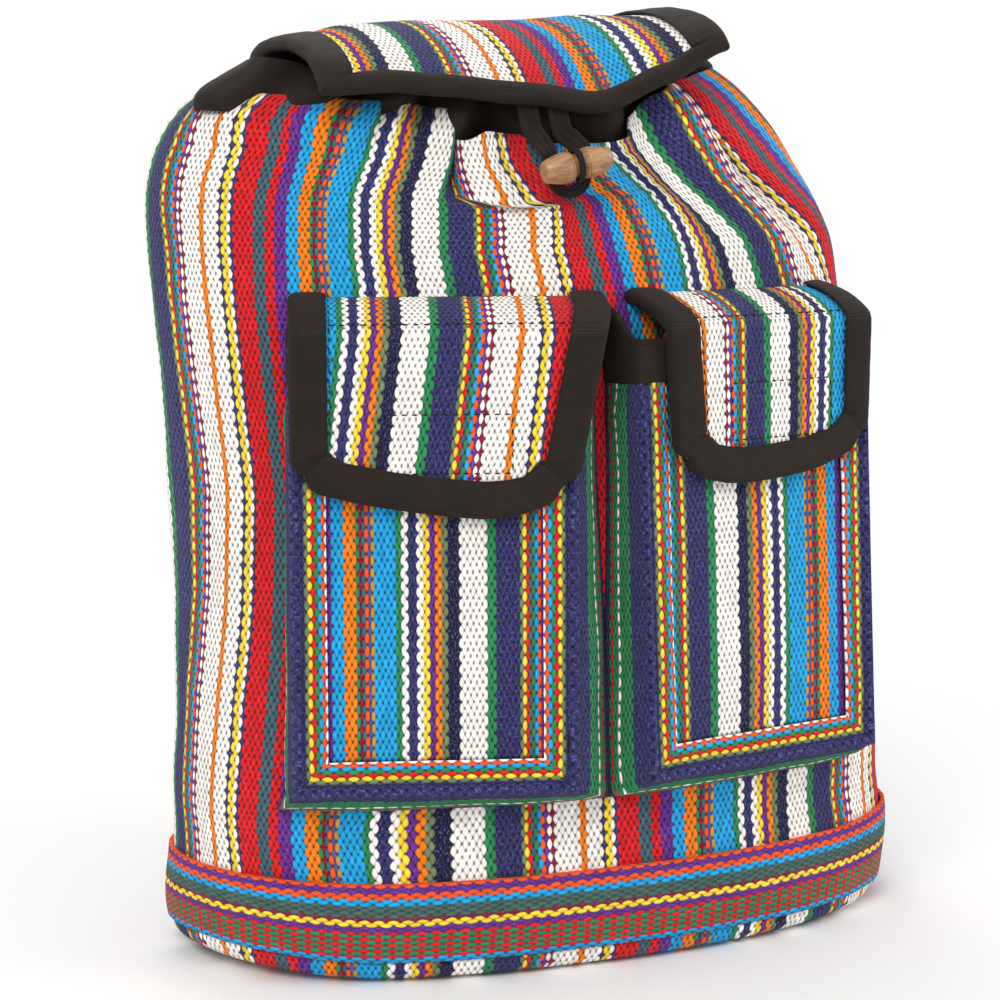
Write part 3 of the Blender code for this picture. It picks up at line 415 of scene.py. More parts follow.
# %% Cross-sections of the body
SHIFT = Vector((-0.0036, 0.0104, 0.0))   # from the form's own middle to the model's origin
GAP = 0.0003
CORNER_POWER, RING_STEPS = 2.34, 480
# Height, half width, centre, front depth, back depth
SECTIONS = (
    (0.000, 0.1540, 0.0035, 0.0815, 0.0600), (0.012, 0.1558, 0.0035, 0.0835, 0.0615),
    (0.045, 0.1552, 0.0050, 0.0825, 0.0635), (0.120, 0.1503, 0.0025, 0.0780, 0.0632),
    (0.200, 0.1470, -0.0035, 0.0725, 0.0600), (0.280, 0.1450, -0.0110, 0.0620, 0.0545),
    (0.315, 0.1350, -0.0205, 0.0525, 0.0500), (0.341, 0.1180, -0.0255, 0.0440, 0.0460),
    (0.357, 0.0930, -0.0235, 0.0290, 0.0370),
)
NECK_Z, RIM_Z = 0.348, 0.358
LEAN_FROM_Z, LEAN_X, LEAN_Y = 0.265, 0.050, 0.120
SAG_FRONT, SAG_WIDTH = 0.010, 0.070
GATHER_FROM_Z, GATHER_DEPTH, GATHER_COUNT = 0.246, 0.0046, 15
BACK_SHARE = 0.150
RIM_HEIGHT, BASE_INSET = 0.0095, 0.013
BAND_TOP, BAND_THICK = 0.0410, 0.0018
FOOT_DRAW, FOOT_LIFT = 0.003, 0.005


def smooth_step(t):
    t = min(max(t, 0.0), 1.0)
    return t * t * (3.0 - 2.0 * t)


def run_along(points):
    """Running length at each point of a line."""
    marks = [0.0]
    for p, q in zip(points, points[1:]):
        marks.append(marks[-1] + math.dist(p, q))
    return marks


def section(z):
    """Half width, centre, front depth and back depth of the body at a height."""
    i = 0
    while i < len(SECTIONS) - 2 and z > SECTIONS[i + 1][0]:
        i += 1
    here, above = SECTIONS[i], SECTIONS[i + 1]
    before, after = SECTIONS[max(i - 1, 0)], SECTIONS[min(i + 2, len(SECTIONS) - 1)]
    span = above[0] - here[0]
    t = (z - here[0]) / span
    out = []
    for k in range(1, 5):
        m0 = (above[k] - before[k]) / max(above[0] - before[0], 1e-6) * span
        m1 = (after[k] - here[k]) / max(after[0] - here[0], 1e-6) * span
        out.append((2 * t ** 3 - 3 * t * t + 1) * here[k] + (t ** 3 - 2 * t * t + t) * m0
                   + (3 * t * t - 2 * t ** 3) * above[k] + (t ** 3 - t * t) * m1)
    return out


RINGS = {}


def ring(z):
    """One cross-section as points, outward directions and running lengths."""
    key = round(z, 5)
    if key in RINGS:
        return RINGS[key]
    a, c, f, k = section(z)
    n, count = 2.0 / CORNER_POWER, RING_STEPS
    points = []
    for i in range(count + 1):
        t = math.radians(90.0 + 360.0 * i / count)
        x, y = math.cos(t), math.sin(t)
        deep = k if y > 0 else f
        points.append((c + a * math.copysign(abs(x) ** n, x), deep * math.copysign(abs(y) ** n, y)))
    turned = []
    for i in range(count + 1):
        p, q = points[(i - 3) % count], points[(i + 3) % count]
        d = math.dist(p, q)
        turned.append(((q[1] - p[1]) / d, (p[0] - q[0]) / d))
    RINGS[key] = (points, turned, run_along(points))
    return RINGS[key]


GIRTH = ring(0.280)[2][-1]


def gather(share, z):
    """Depth of the folds: round ridges with narrow valleys, deeper towards the mouth."""
    rise = smooth_step((z - GATHER_FROM_Z) / (NECK_Z - GATHER_FROM_Z)) ** 1.4
    side = abs((share % 1.0) - 0.5)
    weight = smooth_step((0.5 - BACK_SHARE - side) / 0.06)
    phase = GATHER_COUNT * share + 0.30 * math.sin(4 * math.pi * share + 0.7)
    wave = math.cos(2 * math.pi * phase) + 0.35 * math.cos(2 * math.pi * (2.0 * share + 0.2))
    narrow = 0.5 * (2.0 * abs(math.cos(math.pi * phase)) - 1.27) + 0.35 * wave
    return GATHER_DEPTH * rise * weight * (0.55 * wave + 0.75 * narrow)


def lean(z, x, y):
    """Height after the top's lean and the droop of its front."""
    weight = smooth_step((z - LEAN_FROM_Z) / (NECK_Z - LEAN_FROM_Z))
    front = max(0.0, -y) / 0.045 * math.exp(-((x + 0.018) / SAG_WIDTH) ** 2)
    return z + weight * (LEAN_X * x + LEAN_Y * y - SAG_FRONT * min(front, 1.2))


def round_foot(point):
    """Lifts and draws in the foot's left corner, where the stuffing doesn't reach."""
    low = smooth_step(1.0 - point.z / 0.075) * smooth_step((-0.085 - point.x) / 0.070)
    front = smooth_step((0.050 - point.y) / 0.080)
    point.x += FOOT_DRAW * low * front
    point.z += FOOT_LIFT * low * front * (1.0 - point.z / 0.15)
    return point


def body_point(share, z, out=0.0, folds=True):
    """A point on the body at a share of the girth, a height and an offset outwards."""
    points, turned, run = ring(z)
    goal = (share % 1.0) * run[-1]
    lo, hi = 0, len(run) - 1
    while hi - lo > 1:
        mid = (lo + hi) // 2
        lo, hi = (mid, hi) if run[mid] <= goal else (lo, mid)
    t = (goal - run[lo]) / max(run[hi] - run[lo], 1e-9)
    x, y = [a + t * (b - a) for a, b in zip(points[lo], points[hi])]
    nx, ny = [a + t * (b - a) for a, b in zip(turned[lo], turned[hi])]
    size = math.hypot(nx, ny)
    far = out + (gather(share, z) if folds else 0.0)
    return round_foot(Vector((x + nx / size * far, y + ny / size * far, lean(z, x, y))))


def face_depth(x, z, back=False):
    """How far in front, or behind, the body's face lies at x and z, without folds."""
    a, c, f, k = section(z)
    inner = 1.0 - min(abs(x - c) / a, 1.0) ** CORNER_POWER
    return (k if back else f) * inner ** (1.0 / CORNER_POWER)


def back_y(x, z):
    """Where the back panel's outer face lies, with the top's lean undone."""
    inner = z
    for _ in range(6):
        inner = z - (lean(inner, x, face_depth(x, inner, True)) - inner)
    return face_depth(x, inner, True)


print("girth of the cloth:", round(GIRTH, 3), "m")

# %% [markdown]
# ## Bending a flat grid
# Every cloth piece starts as a flat grid from `create_grid`. One function says where a
# point of the grid goes, another where its threads lie, in metres of cloth. Thickness is
# left to Solidify, so the sheet itself stays simple. Tape that closes on itself has its
# first and last rows merged.

# %% Helpers for sheets of cloth
DONE = {}


def finish_piece(name, bm, finish, nodes=(), body="bag", smooth=60.0):
    """Turns a bmesh into a finished piece that rides on its body."""
    material, slot = finish
    mesh = bpy.data.meshes.new(name)
    bm.to_mesh(mesh)
    bm.free()
    for vert in mesh.vertices:
        vert.co = vert.co + SHIFT
    mesh.shade_smooth()
    mesh.set_sharp_from_angle(angle=math.radians(smooth))
    mesh.materials.append(material)
    obj = bpy.data.objects.new(name, mesh)
    bpy.context.scene.collection.objects.link(obj)
    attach(obj, body)
    if nodes:
        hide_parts(*nodes)
    DONE[name] = obj
    return obj


def shares(co):
    """A point of the flat grid as its shares s and t, from 0 to 1."""
    return co.x + 0.5, co.y + 0.5


def bent_grid(columns, rows, place, lay, closed=False):
    """A flat grid bent by place(s, t); lay(s, t, face) gives its threads in metres.

    The face's middle tells lay which side of a mitre or a fold a corner belongs to.
    """
    bm = bmesh.new()
    bmesh.ops.create_grid(bm, x_segments=columns, y_segments=rows, size=0.5)
    threads = bm.loops.layers.uv.new("threads")
    for face in bm.faces:
        middle = shares(face.calc_center_median())
        for loop in face.loops:
            loop[threads].uv = lay(*shares(loop.vert.co), middle)
    for vert in bm.verts:
        vert.co = place(*shares(vert.co))
    if closed:
        bmesh.ops.remove_doubles(bm, verts=bm.verts, dist=1e-5)
    return bm


def thicken(obj, thickness):
    """Gives a sheet its thickness, inwards from its outer face."""
    wall = obj.modifiers.new("thickness", "SOLIDIFY")
    wall.thickness = thickness
    wall.offset = -1.0
    wall.use_even_offset = True
    wall.thickness_clamp = 0.8
    return obj


def sheet_piece(name, columns, rows, place, lay, finish, nodes, thick=CLOTH, closed=False):
    """A sheet of cloth or tape on the bag."""
    bm = bent_grid(columns, rows, place, lay, closed)
    return thicken(finish_piece(name, bm, finish, nodes), thick)


print("grid helpers ready")

# %% [markdown]
# ## Lines and stitches
# Edges, straps and cords follow lines. A few short functions read a point, a direction
# or a length from a line, and a row of stitches is laid along one.

# %% Helpers for lines and stitches


def along_path(path, s):
    """A point at share s of a list of points."""
    count = len(path) - 1
    at = min(max(s, 0.0), 1.0) * count
    i = min(int(at), count - 1)
    return path[i].lerp(path[i + 1], at - i)


def curve_through(points, u):
    """Reads a smooth curve through the given rows at u from 0 to 1."""
    count = len(points) - 1
    t = min(max(u, 0.0), 1.0) * count
    i = min(int(t), count - 1)
    t -= i
    rows = [points[max(i - 1, 0)], points[i], points[i + 1], points[min(i + 2, count)]]
    return [0.5 * (2 * b + (c - a) * t + (2 * a - 5 * b + 4 * c - d) * t * t
                   + (3 * b - a - 3 * c + d) * t ** 3) for a, b, c, d in zip(*rows)]


def value_through(values, u):
    """The same for single numbers."""
    return curve_through([(value,) for value in values], u)[0]


def spread(points, steps):
    """The same line with each leg cut into equal steps, one number for all or one each."""
    legs = len(points) - 1
    line = []
    for p, q, n in zip(points, points[1:], steps if isinstance(steps, tuple) else [steps] * legs):
        line += [Vector(p).lerp(Vector(q), i / n) for i in range(n)]
    return line + [Vector(points[-1])]


def ahead_at(path, i):
    """Direction of a line at one of its points."""
    return (path[min(i + 1, len(path) - 1)] - path[max(i - 1, 0)]).normalized()


def outward(surface, x, run):
    """Direction out of a surface that takes a height as its third value."""
    return (surface(x, run, 0.003) - surface(x, run, 0.0)).normalized()


def bumpy(x, y, z):
    """Slow noise from about -1 to 1, the same on every run."""
    return noise.noise(Vector((x, y, z)))


STITCH_LENGTH, STITCH_GAP, STITCH_WIDE = 0.0026, 0.0012, 0.00034


def stitch_rows(name, rows):
    """Rows of short dark threads that dive in and out. A row is a list of (point, outward)."""
    bm = bmesh.new()
    threads = bm.loops.layers.uv.new("threads")
    for row in rows:
        marks = run_along([point for point, _ in row])
        count = max(int(marks[-1] / (STITCH_LENGTH + STITCH_GAP)), 1)
        k = 0
        for i in range(count):
            goal = (i + 0.5) * marks[-1] / count
            while k < len(marks) - 2 and marks[k + 1] < goal:
                k += 1
            (p, out), (q, out_q) = row[k], row[k + 1]
            t = (goal - marks[k]) / max(marks[k + 1] - marks[k], 1e-9)
            at, up = p.lerp(q, t), out.lerp(out_q, t).normalized()
            ahead = (q - p).normalized()
            side = up.cross(ahead).normalized()
            made = bmesh.ops.create_icosphere(bm, subdivisions=1, radius=1.0)["verts"]
            for vert in made:
                x, y, z = vert.co
                vert.co = (at + ahead * (x * STITCH_LENGTH / 2) + side * (y * STITCH_WIDE)
                           + up * ((z + 0.25) * STITCH_WIDE))
    for face in bm.faces:
        for loop in face.loops:
            loop[threads].uv = (loop.vert.co.x, loop.vert.co.z)
    return finish_piece(name, bm, DARK_THREAD)


print("stitch:", round(STITCH_LENGTH * 1000, 1), "mm long")

# %% [markdown]
# ## The main bag
# One cloth runs round the front and the sides. It is cut to one width from foot to mouth,
# so where the bag narrows the spare width has to go somewhere. In the photo it slips
# sideways under the tie: stripes lean, and whole stripes vanish in deep puckers. So each
# warp end gets a slip, read from a small table, and the ends that are squeezed
# together are pushed in. Slow noise gives the sag of a stuffed bag.

# %% Where the cloth slips and folds
FRONT_END = 144.65           # number of the warp end in the middle of the front

# How many ends the cloth has slipped to the right, at a few ends and heights
SLIP_ENDS = (-10, 10, 30, 50, 76, 104, 129, 141, 156, 184, 212, 236, 258, 300)
SLIPS = (
    (0.060, (0, -1, -4, -6, -6, 0, 0, 0, 0, 0, 0, 0, 0, 0)),
    (0.110, (0, -1, -2, -2, 0, 0, 0, 0, 0, 0, 0, 0, 0, 0)),
    (0.150, (0, 6, 3, 1, 0, 0, 0, 0, 0, 0, 0, 0, 0, 0)),
    (0.190, (0, 10, 6, 3, 1, 0, 0, 0, 0, 0, 0, 0, 0, 0)),
    (0.264, (0, 6, 4, 2, 1, 0, 1, 2, 1, 1, 1, 2, 2, 0)),
    (0.285, (0, 7, 4, 3, 1, 0, 1, 2, 1, 2, 0, 0, -2, 0)),
    (0.3090, (0, 8, 6, 6, 5, 6, 8, 10, 6, 4, -9, -8, -18, 0)),
    (0.3130, (0, 8, 6, 7, 6, 7, -2, 1, 3, 2, -10, -8, -20, 0)),
    (0.330, (0, 9, 8, 10, 12, 14, -3, -3, -1, -3, -13, -6, -24, -6)),
    (0.348, (0, 3, 2, 6, 15, 18, -2, -2, -1, -1, -8, -2, -22, -8)),
)
# Folds of the mouth: end, half width in ends, height where it starts, where it is full, rise
FOLDS = (
    (116.5, 7.0, 0.306, 0.326, -0.0085), (101.0, 7.0, 0.320, 0.345, 0.0030),
    (136.0, 9.5, 0.3092, 0.3122, 0.0052), (77.5, 2.6, 0.326, 0.338, -0.0040),
    (70.0, 6.0, 0.322, 0.338, 0.0022), (91.0, 4.0, 0.330, 0.346, -0.0020),
    (151.0, 4.0, 0.318, 0.335, -0.0030), (163.0, 5.0, 0.300, 0.330, 0.0020),
    (187.0, 3.5, 0.294, 0.306, -0.0034), (199.0, 7.0, 0.284, 0.302, 0.0036),
    (216.0, 4.0, 0.300, 0.335, -0.0020), (226.0, 7.0, 0.270, 0.310, 0.0026),
    (247.0, 6.0, 0.262, 0.302, -0.0062), (262.0, 8.0, 0.265, 0.300, 0.0024),
    (34.0, 7.0, 0.300, 0.340, 0.0016), (48.0, 4.0, 0.315, 0.345, -0.0014),
)
# Height of the cloth's upper edge, by end
MOUTH_EDGE = ((85, 0.3500), (104, 0.3490), (114, 0.3400), (128, 0.3390), (138, 0.3425),
              (150, 0.3415), (165, 0.3370), (190, 0.3340), (202, 0.3350), (212, 0.3420),
              (224, 0.3470), (236, 0.3500))
LIP_END, LIP_WIDE, LIP_Z, LIP_HIGH = 136.0, 9.5, 0.3125, 0.0035
LIP_DROP = 0.0026            # how far the bulge over the front pucker hangs over its foot
# Dents of the stuffed cloth: height, how many per metre round and up, place in the noise
DENTS = ((0.0022, 11.0, 9.0, 3.1), (0.0010, 34.0, 22.0, 7.7), (0.0004, 70.0, 55.0, 1.3))
CREASE_DEPTH, CREASE_ABOVE, CREASE_HIGH = 0.0016, 0.014, 0.010   # over the foot band


def blend_between(marks, values, at):
    """Reads values given at rising marks, with soft steps between them."""
    if at <= marks[0]:
        return values[0]
    for m0, m1, v0, v1 in zip(marks, marks[1:], values, values[1:]):
        if at <= m1:
            return v0 + (v1 - v0) * smooth_step((at - m0) / (m1 - m0))
    return values[-1]


def slip(end, z):
    """How many ends the cloth has slipped sideways at a height."""
    heights = [row[0] for row in SLIPS]
    slips = [blend_between(SLIP_ENDS, row[1], end) for row in SLIPS]
    if z <= heights[0]:
        return slips[0] * smooth_step(z / heights[0])
    low = max(i for i in range(len(SLIPS)) if heights[i] <= z)
    if low == len(SLIPS) - 1:
        return slips[-1]
    t = (z - heights[low]) / (heights[low + 1] - heights[low])
    return slips[low] + (slips[low + 1] - slips[low]) * t


def mouth_edge(end):
    """Where the cloth ends at the mouth."""
    return blend_between([e for e, _ in MOUTH_EDGE], [z for _, z in MOUTH_EDGE], end)


def mouth_folds(end, z):
    """Puckers and ridges round the mouth, in metres outwards."""
    return sum(rise * math.exp(-((end - centre) / wide) ** 2) * smooth_step((z - low) / (high - low))
               for centre, wide, low, high, rise in FOLDS)


def crumple(share, z):
    """Slow dents and ridges of the stuffed cloth, in metres outwards."""
    dents = sum(high * bumpy(share * GIRTH * turn, z * up, seed) for high, turn, up, seed in DENTS)
    fade = smooth_step((z - BAND_TOP + 0.006) / 0.03) * smooth_step((NECK_Z + 0.004 - z) / 0.03)
    side = abs((share % 1.0) - 0.5) - 0.07
    crease = math.exp(-((z - BAND_TOP - CREASE_ABOVE) / CREASE_HIGH) ** 2)
    return dents * fade - CREASE_DEPTH * crease * smooth_step(1.0 - abs(side) / 0.30)


def wrap_point(end, z):
    """A point of the main cloth by its warp end and its height."""
    share = 0.5 + (end + slip(end, z) - FRONT_END) * WARP_PITCH / GIRTH
    front = smooth_step((0.5 - BACK_SHARE - abs(share - 0.5)) / 0.05)
    far = crumple(share, z) + mouth_folds(end, z) * front
    far += gather(share, z) * (1.0 - 0.75 * front)
    point = body_point(share, z, far, folds=False)
    lip = math.exp(-((end - LIP_END) / LIP_WIDE) ** 2) * math.exp(-((z - LIP_Z) / LIP_HIGH) ** 2)
    point.z -= LIP_DROP * lip
    return point


print("folds at the mouth:", len(FOLDS), "slips read at", len(SLIPS), "heights")

# %% [markdown]
# ## The two large sheets
# The main cloth and the back meet at two seams. Both grids are even round the girth. In
# height the main one is finer from the pocket flaps up, where the small folds are.

# %% Make the main cloth and the back
SEAM = 0.5 * GAP / GIRTH     # half the gap at a seam, as a share of the girth
CLOTH_LOW, CLOTH_HIGH = RIM_HEIGHT + GAP, NECK_Z + 0.002
CUT_LONGER = 1.02            # cloth cut for each metre of height, because its path waves
COARSE_ROWS, FINE_FROM_Z = 0.36, 0.262


def rise_of(t, high):
    """Heights of the rows: coarse below, fine from the pocket flaps up."""
    if t < COARSE_ROWS:
        return CLOTH_LOW + (FINE_FROM_Z - CLOTH_LOW) * t / COARSE_ROWS
    return FINE_FROM_Z + (high - FINE_FROM_Z) * (t - COARSE_ROWS) / (1.0 - COARSE_ROWS)


def large_sheet(name, node, columns, rows, spot, point, end_of):
    """Cloth from seam to seam. Spot gives a place round the bag and a height there.

    Point bends them, and end_of turns the place round the bag into a warp end.
    """
    def lay(s, t, face):
        around, z = spot(s, t)
        return end_of(around) * WARP_PITCH, z

    obj = sheet_piece(name, columns, rows, lambda s, t: point(*spot(s, t)), lay, COTTON, [node])
    width = (end_of(spot(1.0, 0.0)[0]) - end_of(spot(0.0, 0.0)[0])) * WARP_PITCH
    flat = (width, (CLOTH_HIGH - CLOTH_LOW) * CUT_LONGER)
    print(name, "cut to", [round(side, 3) for side in flat])
    return obj, flat


def front_spot(s, t):
    """The front is named by its warp ends, which slip."""
    end = FRONT_END + (0.5 - BACK_SHARE - SEAM) * GIRTH / WARP_PITCH * (2.0 * s - 1.0)
    return end, rise_of(t, mouth_edge(end))


def back_spot(s, t):
    """The back is named by its share of the girth."""
    return (BACK_SHARE - SEAM) * (2.0 * s - 1.0), CLOTH_LOW + (CLOTH_HIGH - CLOTH_LOW) * t


wrap, wrap_flat = large_sheet("body_cloth", "body_wrap", 290, 140, front_spot, wrap_point,
                              lambda end: end)
back, back_flat = large_sheet("back_cloth", "back_panel", 80, 100, back_spot,
                              lambda share, z: body_point(share, z, crumple(share, z)),
                              lambda share: FRONT_END + (share - 0.5) * GIRTH / WARP_PITCH)

# %% [markdown]
# ## Neck, foot band and base
# The cloth ends in a dark channel that is gathered tight, so it stands in small upright
# puckers. Round the foot goes a band of the same cloth turned on its side. The base is
# turned up at its rim, inside the band.

# %% Make the neck, the band and the base
NECK_PUCKERS, NECK_THICK = 44, 0.0022
PUFF_AT, PUFF_WIDE, PUFF_LIFT = 0.285, 0.045, 0.0042   # the left end stands out and up
BAND_ENDS, BAND_FIRST_END = 27, -0.4


def neck_place(s, t):
    """Upright puckers, tucked in at the foot and puffed out at the left."""
    end = FRONT_END + (s - 0.5) * GIRTH / WARP_PITCH
    low = min(mouth_edge(end + 4.0), NECK_Z) - 0.0045
    z = low + (RIM_Z + 0.0005 - low) * t
    uneven = 1.5 * math.sin(9 * math.pi * s)
    pucker = 0.0016 * abs(math.sin(math.pi * NECK_PUCKERS * s + uneven))
    pucker += 0.0022 * bumpy(s * 40.0, t * 2.0, 5.0)
    left = math.exp(-((s - PUFF_AT) / PUFF_WIDE) ** 2)
    puff = left * math.sin(math.pi * min(t * 1.1, 1.0))
    puff *= 0.0048 + 0.0034 * math.sin(95.0 * s + 2.5 * t)
    tuck = 0.0100 * (1.0 - smooth_step(t / 0.6)) * (1.0 - left)
    point = body_point(s, min(z, RIM_Z), pucker * (0.3 + 0.7 * t) + puff - tuck)
    point.z += left * PUFF_LIFT * t * t
    return point


def band_place(s, t):
    """A band over the body's foot, a little full in its middle."""
    z = RIM_HEIGHT + GAP + (BAND_TOP - RIM_HEIGHT - GAP) * t
    wave = 0.0007 * bumpy(s * 30.0, t * 2.0, 9.0)
    swell = 0.0010 * math.sin(math.pi * t)
    return body_point(s, z, GAP + BAND_THICK + swell + wave)


neck = sheet_piece("gathered_neck", 420, 16, neck_place,
                   lambda s, t, face: (s * GIRTH, t * (RIM_Z - NECK_Z)),
                   DARK_TAPE, ["neck_channel"], NECK_THICK, True)
band = sheet_piece("foot_band", 300, 16, band_place,
                   lambda s, t, face: ((BAND_ENDS * t + BAND_FIRST_END) * WARP_PITCH, s * GIRTH),
                   BAND_COTTON, ["base_band"], BAND_THICK, True)

# How far inside the body's edge, and how high, from the rim to the underside
BASE_PATH = ((-0.0006, RIM_HEIGHT), (-0.0004, 0.0074), (0.0008, 0.0046), (0.0026, 0.0026),
             (0.0050, 0.0014), (0.0085, 0.0006), (BASE_INSET, 0.0))
BASE_MIDDLE, BASE_FLAT = Vector((0.0035, 0.0, 0.0)), 0.4
FOOT_Z = 0.010


def base_cloth():
    """A rim round the foot that runs in to the middle of the underside."""

    def place(s, t):
        inset, z = curve_through(BASE_PATH, 1.0 - max(t - BASE_FLAT, 0.0) / (1.0 - BASE_FLAT))
        point = body_point(s, FOOT_Z, -inset, folds=False)
        point.z = max(point.z - FOOT_Z, 0.0) + z
        return BASE_MIDDLE.lerp(point, min(t / BASE_FLAT, 1.0))

    def lay(s, t, face):
        point = place(s, t)
        if face[1] < BASE_FLAT:
            return FRONT_END * WARP_PITCH + point.x, point.y
        return FRONT_END * WARP_PITCH + (s - 0.5) * GIRTH, point.z

    return sheet_piece("base_cloth", 240, 20, place, lay, FOOT_COTTON, ["base_panel"],
                       closed=True)


base = base_cloth()
for obj in (neck, band, base):
    print(obj.name, len(obj.data.polygons), "faces")

# %% [markdown]
# ## Box pockets
# A box pocket is one strip folded at a pin tuck: its inner part frames the face, its
# outer part runs back to the bag. The strip is mitred at the lower corners, so its
# stripes turn with it. Each pocket has a frame of its own: x along the face, y up the
# face and h out of it, and all its pieces are laid out in that frame.

# %% The pocket's own frame
POCKET_WIDTH, POCKET_HEIGHT = 0.112, 0.1685
POCKET_X, POCKET_Y, POCKET_Z = 0.0676, 0.0870, 0.0790
POCKET_LEAN = 3.5
POCKET_YAW = {-1: 16.5, 1: 12.0}
FRAME_WIDTH, POCKET_CLOTH = 0.0120, 0.0014
FLARE_SIDE, FLARE_FOOT = 0.0055, 0.0080
MOUTH_TAPE, TAPE = 0.0160, 0.0009
MOUTH_RISE = 0.75            # share by which the mouth's tape is wider at the body
SIDES = {-1: "left", 1: "right"}


class Pocket:
    """A pocket's frame, and the distance from its face back to the body."""

    def __init__(self, side):
        self.side, self.name = side, SIDES[side]
        yaw, tip = math.radians(POCKET_YAW[side]), math.radians(POCKET_LEAN)
        self.foot = Vector((side * POCKET_X, -POCKET_Y, POCKET_Z))
        self.along = Vector((math.cos(yaw), side * math.sin(yaw), 0.0))
        out = Vector((side * math.sin(yaw), -math.cos(yaw), 0.0))
        up = Vector((0.0, 0.0, 1.0))
        self.up = up * math.cos(tip) - out * math.sin(tip)
        self.out = out * math.cos(tip) + up * math.sin(tip)
        self.depths = {}

    def at(self, x, y, h=0.0):
        return self.foot + self.along * x + self.up * y + self.out * h

    def depth(self, x, y):
        """Distance straight back from the face to the body."""
        key = (round(x, 4), round(y, 4))
        if key not in self.depths:
            low, high = -0.030, 0.090
            for _ in range(22):
                mid = (low + high) / 2
                p = self.at(x, y, -mid)
                low, high = (mid, high) if -p.y > face_depth(p.x, p.z) else (low, mid)
            self.depths[key] = low
        return self.depths[key]


POCKETS = [Pocket(-1), Pocket(1)]
for pocket in POCKETS:
    print(pocket.name, "pocket depth:", round(pocket.depth(0.0, 0.08) * 1000, 1), "mm")

# %% [markdown]
# ## Frame and sides of a pocket
# The strip is bent in three blocks, one for each straight run, so the threads can follow
# each run up to the mitre. Across the strip the pin tuck stands up as a small ridge, with
# a row of stitches at its foot.

# %% Make the frames
# From the strip's inner edge over the ridge to the crease: distance inside it, height
TUCK = ((0.0122, 0.0000), (0.0098, 0.0005), (0.0070, 0.0007), (0.0040, 0.0004),
        (0.0026, 0.0001), (0.0020, 0.0009), (0.0013, 0.0022), (0.0006, 0.0024),
        (0.0001, 0.0014), (0.0000, -0.0004))
TUCK_MARKS = run_along(TUCK)
# The same with the length of cloth that is left up to the crease
TUCK_ROWS = [(*row, TUCK_MARKS[-1] - mark) for row, mark in zip(TUCK, TUCK_MARKS)]
WALL_STEPS, WALL_DEPTH = 9, 0.026
FRAME_SEAM, FRAME_SEAM_HIGH = 0.0030, 0.0006
PINCH = {-1: 0.0055, 1: 0.0}  # the left pocket is drawn in at its inner side


def frame_piece(pocket):
    """The folded strip round the face with its side walls, ridge and mitres."""
    w, top, pinch = POCKET_WIDTH / 2, POCKET_HEIGHT, PINCH[pocket.side]
    blocks = (52, 44, 52)
    columns = sum(blocks)
    inner_rows, rows = len(TUCK) - 1, len(TUCK) - 1 + WALL_STEPS
    straight = top - MOUTH_TAPE - 0.002

    def block_of(s):
        """Left, foot or right block, and the share along it."""
        at, block = s * columns, 0
        while block < 2 and at >= blocks[block] - 1e-6:
            at, block = at - blocks[block], block + 1
        return block, at / blocks[block]

    def flat_point(block, f, o):
        """Place on the face at share f along a block, o inside the crease."""
        if block == 0:
            return -w + o, top + (o - top) * f
        if block == 1:
            return -w + o + (2 * w - pinch - 2 * o) * f, o
        return w - pinch - o, o + (top - o) * f

    def tuck_at(row):
        """Distance inside, height and cloth up to the crease, between two rows."""
        i = min(int(row + 1e-6), inner_rows - 1)
        return [a + (b - a) * (row - i) for a, b in zip(TUCK_ROWS[i], TUCK_ROWS[i + 1])]

    def place(s, t):
        block, f = block_of(s)
        row = t * rows
        if row <= inner_rows + 1e-6:
            o, h, _ = tuck_at(row)
            x, y = flat_point(block, f, o)
            lump = 0.0007 * bumpy(x * 60 + pocket.side * 9, y * 60, 2.0)
            free = smooth_step((straight - y) / 0.010)
            return pocket.at(x, y, (h + lump * smooth_step(o / 0.004)) * free)
        share = (row - inner_rows) / WALL_STEPS
        x, y = flat_point(block, f, 0.0)
        foot = smooth_step(1.0 - y / straight)
        flare = (FLARE_FOOT if block == 1 else FLARE_SIDE * foot) * share
        if pocket.side < 0 and block != 1:
            flare = flare * 0.3 if block == 0 else share * (0.0040 + 0.0055 * foot)
        across = (-flare, FLARE_SIDE * share * (2 * f - 1), flare)[block]
        ox = x + across + pinch * share * (0.0, f, 1.0)[block]
        oy = y - (flare if block == 1 else FLARE_FOOT * share * (1.0 - y / top) ** 3)
        deep = -pocket.depth(ox, oy) - 0.0012
        sag = 0.0012 * math.sin(math.pi * share) * (1.0 + bumpy(s * 14, share * 2, 4))
        sag *= smooth_step((straight - y) / 0.010)
        nx = -1.0 if block == 0 else 1.0 if block == 2 else 0.0
        return pocket.at(ox + nx * sag, oy - (sag if block == 1 else 0.0), deep * share - 0.0004)

    def lay(s, t, face):
        block, _ = block_of(face[0])
        f = (s * columns - sum(blocks[:block])) / blocks[block]
        row = t * rows
        if row <= inner_rows + 1e-6:
            o, _, run = tuck_at(row)
        else:
            o, run = 0.0, -(row - inner_rows) / WALL_STEPS * WALL_DEPTH
        x, y = flat_point(block, f, o)
        return TUCK_MARKS[-1] - run, (x if block == 1 else y) + 0.003 * pocket.side

    obj = sheet_piece(f"{pocket.name}_pocket_frame", columns, rows, place, lay,
                      POCKET_COTTON, [f"{pocket.name}_pocket_gusset"], POCKET_CLOTH)
    seams = []
    for block, steps in enumerate((60, 40, 60)):
        spots = [flat_point(block, i / steps, FRAME_SEAM) for i in range(steps + 1)]
        seams.append([(pocket.at(x, y, FRAME_SEAM_HIGH), pocket.out) for x, y in spots])
    stitch_rows(f"{pocket.name}_frame_stitches", seams)
    return obj


